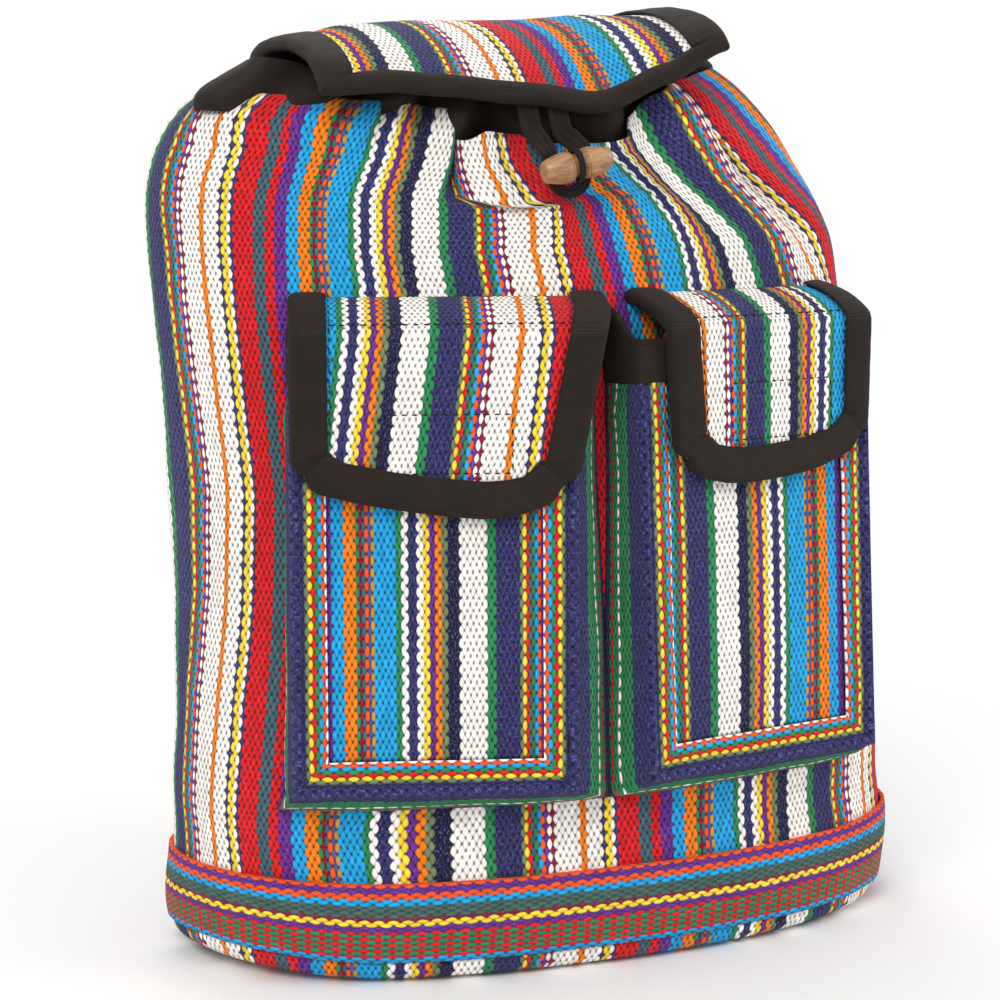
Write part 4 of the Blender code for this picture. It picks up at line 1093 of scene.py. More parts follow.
def front_piece(pocket):
    """The woven panel inside the frame, a little full in the middle."""
    left = -POCKET_WIDTH / 2 + FRAME_WIDTH - 0.0006
    right = -left - PINCH[pocket.side]
    low, high = FRAME_WIDTH - 0.0006, POCKET_HEIGHT
    first, last = (52.0, 125.0) if pocket.side < 0 else (124.5, 51.5)

    def place(s, t):
        x, y = left + (right - left) * s, low + (high - low) * t
        dome = 0.0016 * math.sin(math.pi * s) ** 0.7 * math.sin(math.pi * min(t * 1.1, 1.0)) ** 0.6
        lump = 0.0007 * bumpy(x * 45, y * 30, 5.0 + pocket.side)
        edge = smooth_step(min(s, 1 - s, t) * 14.0)
        return pocket.at(x, y, (dome + lump) * edge - 0.0008)

    def lay(s, t, face):
        return (first + (last - first) * s) * WARP_PITCH, low + (high - low) * t

    return sheet_piece(f"{pocket.name}_pocket_panel", 44, 60, place, lay, COTTON,
                       [f"{pocket.name}_pocket_front"], POCKET_CLOTH)


for pocket in POCKETS:
    print(frame_piece(pocket).name, front_piece(pocket).name)

# %% [markdown]
# ## Tape folded over an edge
# Raw cloth edges are closed with tape folded over them. Seen in section the tape is a
# narrow U. So one function bends a grid whose rows run round that U and whose columns
# follow the edge. It needs two lines in the cloth's own flat measure, the edge and the
# line where the tape ends, and the cloth's surface, which bends both.

# %% A folded binding along any edge
BINDING_WIDTH = 0.0115
EDGE_REACH = 0.0016          # how far the fold stands past the cloth's edge
TAPE_SMOOTH = 70.0           # edges of tape that turn less than this are soft
HALF_TURN = [(math.cos(math.pi * i / 6), math.sin(math.pi * i / 6)) for i in range(7)]


def folded_tape(name, outer, inner, surface, nodes, puff, seed=0.0):
    """Tape over an edge. Surface(a, b, h) bends flat measure a, b and height h."""
    width = math.dist(outer[0], inner[0])
    turn = CLOTH / 2 + TAPE
    profile = [(1.0, turn - 0.0003), (0.94, turn), (0.5, turn + puff), (0.12, turn + puff * 0.6)]
    profile += [(-sine * EDGE_REACH / width, turn * cosine) for cosine, sine in HALF_TURN]
    profile += [(0.12, -turn), (0.5, -turn), (0.94, -turn), (1.0, -turn + 0.0003)]
    rows = len(profile) - 1
    length = run_along(outer)[-1]

    def place(s, t):
        share, h = profile[int(round(t * rows))]
        p = along_path(outer, s).lerp(along_path(inner, s), share)
        lump = 0.00035 * bumpy(s * length * 120, share * 3 + seed, 2.0)
        return surface(p.x, p.y, h + (lump if h > 0 else -lump))

    def lay(s, t, face):
        return s * length, t * 2.2 * width

    bm = bent_grid(len(outer) - 1, rows, place, lay)
    obj = finish_piece(name, bm, DARK_TAPE, nodes, smooth=TAPE_SMOOTH)
    thicken(obj, TAPE).modifiers["thickness"].use_even_offset = False
    return obj


def mouth_tape(pocket):
    """Dark tape over the pocket's mouth, from the body round the front to the body."""
    w, top, pinch = POCKET_WIDTH / 2, POCKET_HEIGHT, PINCH[pocket.side]
    ends = [-pocket.depth(side * w, top - 0.006) for side in (-1, 1)]
    c = 0.0030
    path = ((-w, ends[0]), (-w, -c), (-w + c * 0.3, -c * 0.3), (-w + c, 0.0), (w - pinch - c, 0.0),
            (w - pinch - c * 0.3, -c * 0.3), (w - pinch, -c), (w, ends[1]))
    line = spread(path, (8, 2, 2, 28, 2, 2, 8))
    columns, marks = len(line) - 1, run_along(line)
    g = 0.0012
    profile = [(g - 0.0003, 0.0), (g, 0.0008), (g + 0.0004, 0.0080), (g, MOUTH_TAPE - 0.001)]
    profile += [(-0.0008 + (g + 0.0008) * cosine, MOUTH_TAPE + 0.0014 * sine)
                for cosine, sine in HALF_TURN]
    profile += [(-0.0030, MOUTH_TAPE - 0.001), (-0.0030, 0.004)]
    rows = len(profile) - 1

    def place(s, t):
        i = int(round(s * columns))
        out, up = profile[int(round(t * rows))]
        ahead = ahead_at(line, i)
        p = line[i] + Vector((-ahead.y, ahead.x)) * (out + 0.0004)
        lump = 0.0004 * bumpy(marks[i] * 90, up * 60, pocket.side * 5.0)
        up *= 1.0 + MOUTH_RISE * smooth_step(-p.y / 0.020)
        return pocket.at(p.x, top - MOUTH_TAPE + up, p.y + lump)

    def lay(s, t, face):
        return marks[int(round(s * columns))], t * 0.034

    bm = bent_grid(columns, rows, place, lay)
    obj = finish_piece(f"{pocket.name}_mouth_binding", bm, DARK_TAPE,
                       [f"{pocket.name}_pocket_mouth_tape"], smooth=TAPE_SMOOTH)
    return thicken(obj, TAPE)


for pocket in POCKETS:
    print(mouth_tape(pocket).name)

# %% [markdown]
# ## Pocket flaps
# A flap is sewn to the bag above the pocket, bends forward over the mouth and hangs down
# the face. The bend is a quarter turn in the pocket's frame. The free part swings a
# little, so slow noise lifts it, and it is fuller in the middle than at its stitched
# sides.

# %% The surface of a flap
FLAP_TOP, FLAP_FRONT, FLAP_ROUND, FLAP_BEND = 0.1860, 0.0048, 0.0120, 0.030
FLAP_SPAN = {-1: (-0.0545, 0.0630, -0.0545, 0.0490), 1: (-0.0440, 0.0550, -0.0415, 0.0510)}
# How far a flap hangs down, at five places from its left to its right corner
FLAP_DROP = {-1: (0.0560, 0.0615, 0.0655, 0.0670, 0.0600),
             1: (0.0530, 0.0590, 0.0590, 0.0560, 0.0490)}
FLAP_ENDS = {-1: (62.0, 164.0), 1: (149.0, 60.0)}
FLAP_SKEW = {-1: 6.0, 1: -2.0}   # ends by which the threads lean over the flap's drop
FLAP_CORNER = 0.0105
GRIP_LENGTH, GRIP_HEIGHT = 0.050, 0.022
GRIP_FOOT = {-1: 0.1215, 1: 0.1290}
FLAT_BEND = 0.55             # share of a straight slope in the bend, the rest is a quarter turn


class Flap:
    """A pocket flap's surface in flat measure: x across, run down from the bend."""

    def __init__(self, pocket):
        self.pocket = pocket
        self.tl, self.tr, self.bl, self.br = FLAP_SPAN[pocket.side]

    def drop(self, x):
        """How far it hangs down at x."""
        return value_through(FLAP_DROP[self.pocket.side], (x - self.bl) / (self.br - self.bl))

    def edges(self, run):
        """Where its left and right sides are at a run."""
        t = min(max((run + 0.016) / 0.072, 0.0), 1.2)
        return [top + (low - top) * t for top, low in ((self.tl, self.bl), (self.tr, self.br))]

    def rounded(self, x, run):
        """Draws the two lower corners in to a round."""
        low = self.drop(x)
        for side, edge in zip((1.0, -1.0), self.edges(run)):
            dx, dy = side * (x - edge) / FLAP_CORNER, (low - run) / FLAP_CORNER
            if dx < 1.0 and dy < 1.0:
                pull = 0.30 * FLAP_CORNER * (1.0 - dx) ** 2 * (1.0 - dy) ** 2
                x, run = x + side * pull, run - pull
        return x, run

    def place(self, x, run, h=0.0):
        x, run = self.rounded(x, run)
        pocket = self.pocket
        half = CLOTH / 2 + GAP + TAPE
        start = -min(pocket.depth(x, FLAP_TOP - half), pocket.depth(x, FLAP_TOP + half)) + 0.0004
        deep, slope = FLAP_FRONT - start, FLAT_BEND * 2.0 / math.pi
        if run < 0.0:
            u = 1.0 + run / FLAP_BEND
            t = math.pi / 2 * u
            y = FLAP_TOP - FLAP_ROUND * ((1.0 - FLAT_BEND) * (1.0 - math.cos(t)) + FLAT_BEND * u)
            out = start + deep * ((1.0 - FLAT_BEND) * math.sin(t) + FLAT_BEND * u)
            ny = deep * ((1.0 - FLAT_BEND) * math.cos(t) + slope)
            nh = FLAP_ROUND * ((1.0 - FLAT_BEND) * math.sin(t) + slope)
        else:
            free = smooth_step(run / 0.05)
            lift = free * (0.0009 * bumpy(x * 26, run * 18, 3.0 * pocket.side)
                           + 0.0006 * bumpy(x * 70, run * 50, 8.0))
            lift += 0.0010 * free * math.cos(math.pi * x / 0.12)
            y = FLAP_TOP - FLAP_ROUND - run
            out, ny, nh = FLAP_FRONT + lift, 0.0, 1.0
        size = math.hypot(ny, nh)
        return pocket.at(x, y + h * ny / size, out + h * nh / size)


for pocket in POCKETS:
    print(pocket.name, "flap hangs", round(Flap(pocket).drop(0.0) * 1000, 1), "mm")

# %% [markdown]
# ## Cloth, tape and stitches of a flap
# The flap's tape follows its two sides and its foot as one line, and the line where the
# tape ends lies inside it by the tape's width. The stitches follow that second line. A
# box of stitches shows where the press tape is sewn on behind.

# %% Make the flaps with their tape and press tapes
BEND_ROWS = 0.3              # share of the flap's rows that its bend takes
FLAP_LONG = 0.060
SEAM_IN = 0.0012             # from the end of a tape to its stitches
GRIP_OFF_MIDDLE = 0.004


def grip_foot(pocket):
    """Middle and foot of the press tapes on the pocket's face."""
    _, _, left, right = FLAP_SPAN[pocket.side]
    return (left + right) / 2 + GRIP_OFF_MIDDLE, GRIP_FOOT[pocket.side]


def flap_pieces(pocket):
    """A flap's cloth, its folded tape and its stitches."""
    flap = Flap(pocket)
    first, last = FLAP_ENDS[pocket.side]

    def flat(s, t):
        """Flat measure at shares s across and t down."""
        if t < BEND_ROWS:
            v, run = 0.0, -FLAP_BEND * (1.0 - t / BEND_ROWS)
        else:
            v = (t - BEND_ROWS) / (1.0 - BEND_ROWS)
            run = FLAP_LONG * v
        left, right = flap.edges(run)
        x = left + (right - left) * s
        return x, run if t < BEND_ROWS else flap.drop(x) * v

    def place(s, t):
        return flap.place(*flat(s, 1.0 - t), CLOTH / 2)

    def lay(s, t, face):
        x, run = flat(s, 1.0 - t)
        lean = FLAP_SKEW[pocket.side] * max(run, 0.0) / FLAP_LONG
        left, right = (flap.tl, flap.tr) if pocket.side < 0 else flap.edges(run)
        share = (x - left) / (right - left)
        return (first + (last - first) * share + lean) * WARP_PITCH, run

    cloth = sheet_piece(f"{pocket.name}_flap_cloth", 64, 60, place, lay, COTTON,
                        [f"{pocket.name}_pocket_flap"])
    cloth.modifiers["thickness"].use_even_offset = False

    down, feet, fine = 14, 12, 5
    left, right = [[flat(s, i / down) for i in range(down + 1)] for s in (0.0, 1.0)]
    foot = [flat(i / feet, 1.0) for i in range(1, feet)]
    outer, b = left + foot + right[::-1], BINDING_WIDTH
    corners = [outer[down], outer[down + feet]]
    inner, seam = [], []
    for i, (x, run) in enumerate(outer):
        if down < i < down + feet:
            k = (i - down) / feet
            x = corners[0][0] + b + (corners[1][0] - corners[0][0] - 2 * b) * k
            run = flap.drop(x) - b
            seam.append((x, run + SEAM_IN))
        else:
            k = 0 if i <= down else 1
            x, run = x + (b, -b)[k], min(run, corners[k][1] - b)
            seam.append((x + (SEAM_IN, -SEAM_IN)[k], run))
        inner.append((x, run))
    tape = folded_tape(f"{pocket.name}_flap_tape", spread(outer, fine), spread(inner, fine),
                       flap.place, [f"{pocket.name}_pocket_flap_binding"], puff=0.0004,
                       seed=pocket.side * 3.0)

    def sewn(line, steps, height):
        return [(flap.place(*spot, height), pocket.out) for spot in spread(line, steps)]

    stitch_rows(f"{pocket.name}_flap_tape_stitches", [sewn(seam, 3, CLOTH / 2 + TAPE + 0.0004)])
    bend = spread(((flap.tl + 0.004, -0.0040), (flap.tr - 0.004, -0.0040)), 60)
    rows = [[(flap.place(*spot, CLOTH / 2 + 0.0002), outward(flap.place, *spot)) for spot in bend]]
    middle, y = grip_foot(pocket)
    x0, x1 = middle - GRIP_LENGTH / 2, middle + GRIP_LENGTH / 2
    low = FLAP_TOP - FLAP_ROUND - y
    high = low - GRIP_HEIGHT
    box = ((x0, high), (x1, high), (x1, low), (x0, low), (x0, high))
    rows += [sewn(leg, 24, CLOTH / 2) for leg in zip(box, box[1:])]
    stitch_rows(f"{pocket.name}_flap_stitches", rows)
    return cloth, tape


def press_tapes(pocket):
    """The hook tape under the flap and the loop tape on the face."""
    middle, y = grip_foot(pocket)
    high = FLAP_FRONT - CLOTH / 2
    thick = (high - 3 * GAP) / 2
    for part, base in (("loop_tape", GAP), ("hook_tape", high - GAP - thick)):
        def place(s, t):
            rough = 0.00012 * bumpy(s * 90, t * 50, base * 900)
            return pocket.at(middle + GRIP_LENGTH * (s - 0.5), y + GRIP_HEIGHT * t,
                             base + thick + rough)

        sheet_piece(f"{pocket.name}_{part}", 40, 18, place,
                    lambda s, t, face: (s * GRIP_LENGTH, t * GRIP_HEIGHT), DARK_TAPE,
                    [f"{pocket.name}_pocket_{part}"], thick)


for pocket in POCKETS:
    cloth, tape = flap_pieces(pocket)
    press_tapes(pocket)
    print(cloth.name, tape.name)

# %% [markdown]
# ## Top flap
# The top flap is sewn on behind, goes over the mouth and droops in the middle of its
# front edge, between the two points where the stuffing holds it up. Its path is one
# smooth curve, lowered by a bell-shaped sag, and its tape is folded over three edges.

# %% The surface of the top flap
LID_LEFT, LID_RIGHT, LID_TILT = -0.1010, 0.0630, 0.045
LID_SAG, LID_SAG_X, LID_SAG_WIDTH = 0.0155, 0.008, {-1: 0.068, 1: 0.036}
LID_DROOP, LID_DROOP_WIDTH = {-1: 0.0065, 1: 0.0025}, 0.034
LID_LIFT_AT = (-0.101, -0.060, -0.015, 0.010, 0.040, 0.063)
LID_LIFT = (0.0070, 0.0030, 0.0060, 0.0035, 0.0065, 0.0140)   # the front edge's uneven hang
LID_PATH = ((0.0545, 0.3270), (0.0535, 0.3420), (0.0510, 0.3550), (0.0440, 0.3655),
            (0.0320, 0.3705), (0.0150, 0.3715), (-0.0100, 0.3690), (-0.0300, 0.3630),
            (-0.0440, 0.3555), (-0.0525, 0.3475))
LID_HEM = 0.0090             # width of the tape that shows on its front edge
LID_ENDS = (83.0, 209.0)     # warp ends at the inner edges of its side tapes


def lid_middle(x, v):
    """The middle of the flap's cloth at x and at a share v of its path."""
    y, z = curve_through(LID_PATH, v)
    z += LID_TILT * x
    seat = back_y(x, min(z, 0.352)) + CLOTH / 2 + TAPE + 2.2 * GAP
    seat += 0.0010 * smooth_step(v / 0.10)
    y += (seat - y) * smooth_step((0.42 - v) / 0.34)
    front = smooth_step((v - 0.45) / 0.55)
    wide = LID_SAG_WIDTH[-1 if x < LID_SAG_X else 1]
    z -= LID_SAG * front * math.exp(-((x - LID_SAG_X) / wide) ** 2)
    droop = LID_DROOP[-1] * smooth_step((LID_LEFT + LID_DROOP_WIDTH - x) / LID_DROOP_WIDTH)
    droop += LID_DROOP[1] * smooth_step((x - LID_RIGHT + LID_DROOP_WIDTH) / LID_DROOP_WIDTH)
    z -= droop * smooth_step((v - 0.10) / 0.25)
    z += front * blend_between(LID_LIFT_AT, LID_LIFT, x)
    wave = bumpy(x * 30, v * 3.0, 1.0)
    return Vector((x, y, z + 0.0014 * wave * smooth_step((v - 0.1) / 0.2)))


LID_LENGTH = run_along([lid_middle(0.0, i / 60) for i in range(61)])[-1]


def lid_surface(x, run, h=0.0):
    """Flat measure on the flap: x across, run from the seam behind to the front edge."""
    v = run / LID_LENGTH
    e = 0.001
    inside = min(v, 1.0)
    p = lid_middle(x, inside)
    if v > 1.0:
        p = p + (lid_middle(x, 1.0) - lid_middle(x, 0.985)).normalized() * (v - 1.0) * LID_LENGTH
    dx = lid_middle(x + e, inside) - lid_middle(x - e, inside)
    dv = lid_middle(x, min(inside + e, 1.0)) - lid_middle(x, max(inside - e, 0.0))
    return p - dx.cross(dv).normalized() * h


print("top flap is", round(LID_LENGTH, 3), "m long over its curve")

# %% [markdown]
# ## Cloth, tape and stitches of the top flap
# The same folded tape goes round three edges. It shows less on the front edge than on the
# sides, so the line where it ends is a rectangle inside the flap's own.

# %% Make the top flap and its tape


def lid_pieces():
    """The cloth in flat measure, its tape round three edges and their stitches."""
    b, wide = BINDING_WIDTH, LID_RIGHT - LID_LEFT

    def flat(s, t):
        return LID_LEFT + wide * s, (1.0 - t) * LID_LENGTH

    def place(s, t):
        return lid_surface(*flat(s, t), CLOTH / 2)

    def lay(s, t, face):
        x, run = flat(s, t)
        share = (x - LID_LEFT - b) / (wide - 2 * b)
        return (LID_ENDS[0] + (LID_ENDS[1] - LID_ENDS[0]) * share) * WARP_PITCH, run

    cloth = sheet_piece("top_flap_cloth", 90, 70, place, lay, COTTON, ["top_flap"])
    outer = spread(((LID_LEFT, 0.0), (LID_LEFT, LID_LENGTH), (LID_RIGHT, LID_LENGTH),
                    (LID_RIGHT, 0.0)), 26)
    hem = LID_LENGTH - LID_HEM
    inner = [(min(max(x, LID_LEFT + b), LID_RIGHT - b), min(run, hem)) for x, run in outer]
    fine = 4
    tape = folded_tape("top_flap_tape", spread(outer, fine), spread(inner, fine), lid_surface,
                       ["top_flap_binding"], puff=0.0005)
    seam = [(x, run + SEAM_IN) if run > hem - 1e-4 else (x + math.copysign(SEAM_IN, x), run)
            for x, run in inner]
    row = [(lid_surface(*spot, CLOTH / 2 + TAPE + 0.0004), outward(lid_surface, *spot))
           for spot in spread(seam, 2)]
    stitch_rows("top_flap_stitches", [row])
    return cloth, tape


lid_cloth, lid_tape = lid_pieces()
print(lid_cloth.name, lid_tape.name)

# %% [markdown]
# ## Tape and cord along a line
# A tape or a cord is a closed section carried along a line. The same bent grid makes it:
# its rows go round the section and its columns follow the line.

# %% Helpers for tape and cord


def tube_grid(name, path, outline, finish, nodes, side, body="bag"):
    """A closed tape or cord: outline(s) gives (across, out) pairs round its section."""
    count, marks = len(path) - 1, run_along(path)
    frames = []
    for i, p in enumerate(path):
        ahead = ahead_at(path, i)
        lie = side(i) if callable(side) else side
        across = (lie - ahead * lie.dot(ahead)).normalized()
        frames.append((p, across, across.cross(ahead)))
    rim = len(outline(0.0))

    def place(s, t):
        p, across, out = frames[int(round(s * count))]
        a, b = outline(s)[int(round(t * rim)) % rim]
        return p + across * a + out * b

    def lay(s, t, face):
        return marks[int(round(s * count))], t * run_along(outline(s))[-1]

    bm = bent_grid(count, rim, place, lay, True)
    ends = [e for e in bm.edges if e.is_boundary]
    if ends:
        bmesh.ops.holes_fill(bm, edges=ends, sides=0)
    bmesh.ops.recalc_face_normals(bm, faces=bm.faces)
    return finish_piece(name, bm, finish, nodes, body)


def rounded_tape(width, thick, folds=()):
    """A flat tape's section with round edges; folds are shares where a crease lies."""
    w, t = width / 2, thick / 2
    top = []
    for i in range(17):
        x = -w + 2 * w * i / 16
        dip = sum(math.exp(-((i / 16 - f) / 0.05) ** 2) for f in folds)
        top.append((x, t * (1.0 - 0.5 * dip) * (1.0 if 0 < i < 16 else 0.35)))
    return top + [(x, -y) for x, y in top[::-1]]


def smooth_path(points, count):
    """A smooth line through a few points."""
    return [Vector(curve_through(points, i / count)) for i in range(count + 1)]


print("a tape's section has", len(rounded_tape(0.01, 0.002)), "points")

# %% [markdown]
# ## Loop, toggle and cord
# The loop is tape folded to a third and sewn down, so it shows two soft folds. The toggle
# is a barrel turned on a lathe: its profile is spun about its axis. The cord goes twice
# round the waist and back into the bag.

# %% Make the loop, the toggle and its cord
TOGGLE_RADIUS, TOGGLE_WAIST = 0.0060, 0.0046
TOGGLE_AT = Vector((-0.0060, -0.0680, 0.3140))
TOGGLE_TILT = math.radians(12.0)
TOGGLE_AXIS = Vector((math.cos(TOGGLE_TILT), 0.0, math.sin(TOGGLE_TILT)))
TIE_RADIUS, TIE_TURNS = 0.0009, 2.0
LOOP_WIDTH, LOOP_THICK, LOOP_SPREAD, LOOP_HALF = 0.0048, 0.0018, 0.0036, 0.0072
LOOP_STEPS = 90

UNEVEN = 0.0108              # how far the turned wood strays from round
WOOD = (wood_material("turned_toggle_wood", TOGGLE_AT + SHIFT, TOGGLE_TILT), "turned_wood")


def loop_piece():
    """From under the flap's edge down round the toggle and up again."""
    x, y, _ = TOGGLE_AT
    plane = y + TOGGLE_RADIUS + LOOP_THICK / 2 + 2 * GAP
    under = CLOTH / 2 + 2.4 * GAP + TAPE + LOOP_THICK / 2
    left = [lid_surface(x - 0.0130, v * LID_LENGTH, -under) for v in (0.95, 0.985)]
    left += [(x - 0.0118, -0.0510, 0.3283), (x - 0.0108, -0.0545, 0.3245),
             (x - 0.0090, plane + 0.0008, 0.3200), (x - LOOP_HALF, plane, 0.3150)]
    foot = []
    for i in range(1, 8):
        a = math.pi * i / 8
        foot.append((x - LOOP_HALF * math.cos(a), plane, 0.3110 - 0.0075 * math.sin(a)))
    right = [(x + LOOP_HALF, plane, 0.3150), (x + 0.0064, plane + 0.0008, 0.3195),
             (x + 0.0036, -0.0545, 0.3235), (x + 0.0012, -0.0508, 0.3270)]
    right += [lid_surface(x, v * LID_LENGTH, -under) for v in (0.985, 0.95)]
    path = smooth_path(left + foot + right, LOOP_STEPS)

    def outline(s):
        leg = smooth_step((abs(2.0 * s - 1.0) - 0.40) / 0.30)
        return rounded_tape(LOOP_WIDTH + LOOP_SPREAD * leg, LOOP_THICK, (0.34, 0.68))

    return tube_grid("flap_loop_tape", path, outline, DARK_TAPE, ["flap_loop"],
                     lambda i: Vector((0, -1, 0)).cross(ahead_at(path, i)))


TOGGLE_PROFILE = (
    (-0.0140, 0.0), (-0.0140, 0.0034), (-0.01385, 0.0038), (-0.0134, 0.00415), (-0.0115, 0.0048),
    (-0.0090, 0.0055), (-0.0070, 0.0059), (-0.0052, 0.0060), (-0.0040, 0.0060), (-0.0037, 0.0057),
    (-0.0035, 0.0055), (-0.0033, 0.0057), (-0.0030, 0.0059), (-0.0027, 0.0057), (-0.0022, 0.0048),
    (-0.0018, 0.0046),
)


def toggle_piece():
    """Half the profile, mirrored, spun about X and tilted."""
    profile = list(TOGGLE_PROFILE) + [(-a, r) for a, r in TOGGLE_PROFILE[::-1]]
    bm = bmesh.new()
    verts = [bm.verts.new((a, 0.0, r)) for a, r in profile]
    edges = [bm.edges.new(pair) for pair in zip(verts, verts[1:])]
    bmesh.ops.spin(bm, geom=verts + edges, cent=(0, 0, 0), axis=(1, 0, 0), steps=56,
                   angle=2 * math.pi, use_merge=True)
    bmesh.ops.remove_doubles(bm, verts=bm.verts, dist=1e-6)
    for vert in bm.verts:
        swell = 1.0 + UNEVEN * bumpy(*(vert.co * 260))
        vert.co = (vert.co.x, vert.co.y * swell, vert.co.z * swell)
    tilt = Vector((1, 0, 0)).rotation_difference(TOGGLE_AXIS)
    bmesh.ops.rotate(bm, verts=bm.verts, cent=(0, 0, 0), matrix=tilt.to_matrix())
    bmesh.ops.translate(bm, verts=bm.verts, vec=TOGGLE_AT)
    bmesh.ops.recalc_face_normals(bm, faces=bm.faces)
    return finish_piece("turned_toggle", bm, WOOD, ["toggle"], "toggle", 50.0)


def tie_piece():
    """Two turns round the waist and a short stem back to the bag, as one cord."""
    up, back_out = Vector((-TOGGLE_AXIS.z, 0.0, TOGGLE_AXIS.x)), Vector((0, 1, 0))
    radius = TOGGLE_WAIST + GAP + TIE_RADIUS
    _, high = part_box("toggle_tie")
    turns = []
    for i in range(61):
        share = i / 60
        a = math.pi / 2 + 2 * math.pi * TIE_TURNS * share
        turns.append(TOGGLE_AT + TOGGLE_AXIS * (0.0009 * (2 * share - 1))
                     + up * (radius * math.cos(a)) + back_out * (radius * math.sin(a)))
    start, end = [Vector((p.x, high.y - SHIFT.y - 0.0002, TOGGLE_AT.z))
                  for p in (turns[0], turns[-1])]
    path = [turns[0].lerp(start, k) for k in (1.0, 0.7, 0.4)] + turns
    path += [turns[-1].lerp(end, k) for k in (0.4, 0.7, 1.0)]
    angles = [2 * math.pi * j / 10 for j in range(10)]
    cord = [(TIE_RADIUS * 0.92 * math.cos(a), TIE_RADIUS * 0.92 * math.sin(a)) for a in angles]
    return tube_grid("toggle_cord", path, lambda s: cord, DARK_THREAD, ["toggle_tie"],
                     TOGGLE_AXIS, "toggle")


print(loop_piece().name, toggle_piece().name, tie_piece().name)

# %% [markdown]
# ## Straps behind
# The photo doesn't show the back, so it gets what such bags have: two padded straps of
# the same cloth, sewn under the flap, with a slide and webbing to the foot, and a haul
# loop between them. The strap is a soft pad with a seam along both edges, so its section
# is a lens with a flat lip on each side.

# %% The padded straps
# Width and thickness at nine places from the top to the lower end
STRAP_SIZES = ((0.038, 0.0040), (0.042, 0.0060), *[(0.046, 0.0080)] * 5, (0.040, 0.0080),
               (0.030, 0.0040))
STRAP_TOP_X, STRAP_TOP_APART = -0.012, 0.036
STRAP_ENDS = {-1: 106.0, 1: 28.0}
QUILTS = 9
STRAP_SEAM_IN, STRAP_SEAM_OUT = 0.0035, 0.0018


def strap_route(side):
    """Places down the back, each pushed out from the back panel."""
    top = STRAP_TOP_X + side * STRAP_TOP_APART
    route = [(top, 0.3150, 0.0036), (top, 0.3060, 0.0056), (top + side * 0.002, 0.2940, 0.0110),
             (top + side * 0.007, 0.2750, 0.0180), (top + side * 0.014, 0.2450, 0.0215),
             (top + side * 0.022, 0.2100, 0.0210), (top + side * 0.028, 0.1750, 0.0180),
             (top + side * 0.033, 0.1450, 0.0150), (top + side * 0.036, 0.1250, 0.0130)]
    return [Vector((x, back_y(x, z) + out, z)) for x, z, out in route]


def lie_of(ahead):
    """Across and outward directions of a strap that runs ahead down the back."""
    across = (Vector((1, 0, 0)) - ahead * ahead.x).normalized()
    out = across.cross(ahead)
    return across, out if out.y > 0 else -out


def strap_section(s):
    """A lens with a flat lip on each side, a little thinner at each quilted seam."""
    w, t = [size / 2 for size in curve_through(STRAP_SIZES, s)]
    quilt = 1.0 - 0.10 * abs(math.sin(math.pi * s * QUILTS)) ** 6
    out = []
    for i in range(21):
        x = -1 + 2 * i / 20
        lens = max(1 - abs(x * 1.02) ** 3.2, 0.0) ** 0.6
        out.append((w * x, max(t * lens * quilt, 0.0008)))
    return out + [(x, -y) for x, y in out[::-1]]


def strap_piece(side):
    """The pad, with its threads along the strap, and two rows of stitches."""
    name, count = SIDES[side], 96
    path = smooth_path(strap_route(side), count)
    piece = tube_grid(f"{name}_strap_pad", path, strap_section, COTTON,
                      [f"{name}_shoulder_strap"], Vector((1, 0, 0)))
    for loop in piece.data.uv_layers["threads"].data:
        along, around = loop.uv
        loop.uv = (STRAP_ENDS[side] * WARP_PITCH + around, along)
    rows = []
    for edge in (-1, 1):
        row = []
        for i in range(2, count - 1):
            across, out = lie_of(ahead_at(path, i))
            inside = curve_through(STRAP_SIZES, i / count)[0] / 2 - STRAP_SEAM_IN
            row.append((path[i] + across * edge * inside + out * STRAP_SEAM_OUT, out))
        rows.append(row)
    stitch_rows(f"{name}_strap_stitches", rows)
    return piece


print("strap is", round(run_along(strap_route(1))[-1], 3), "m long")

# %% [markdown]
# ## Slides, webbing and tabs
# A short tape goes round the slide's upper bar and back under the strap. The webbing
# comes up from the foot, goes over the middle bar and hangs down as a loose tail. It
# turns with the bag's back at its foot and with the slide at its top. A cloth tab covers
# its sewn end.

# %% Make the straps, the slides' tapes, the webbing and the anchor tabs
WEB_WIDTH, WEB_THICK = 0.0250, 0.0016
BUCKLE_PITCH, BAR, BAR_CORNER = 0.0095, 0.0030, 1.42
WEB_FOOT_X, WEB_FOOT_Z = 0.092, 0.052
# The anchor tab at three heights: distance from the middle, height, width
ANCHOR_ROWS = ((0.0940, BAND_TOP + GAP + 0.002, 0.042), (0.0930, 0.0500, 0.036),
               (0.0910, 0.0590, 0.029))


def web_piece(name, path, width, across, node):
    """Webbing with a thin dent along both edges."""
    return tube_grid(name, path, lambda s: rounded_tape(width, WEB_THICK, (0.08, 0.92)),
                     DARK_TAPE, [node], across)


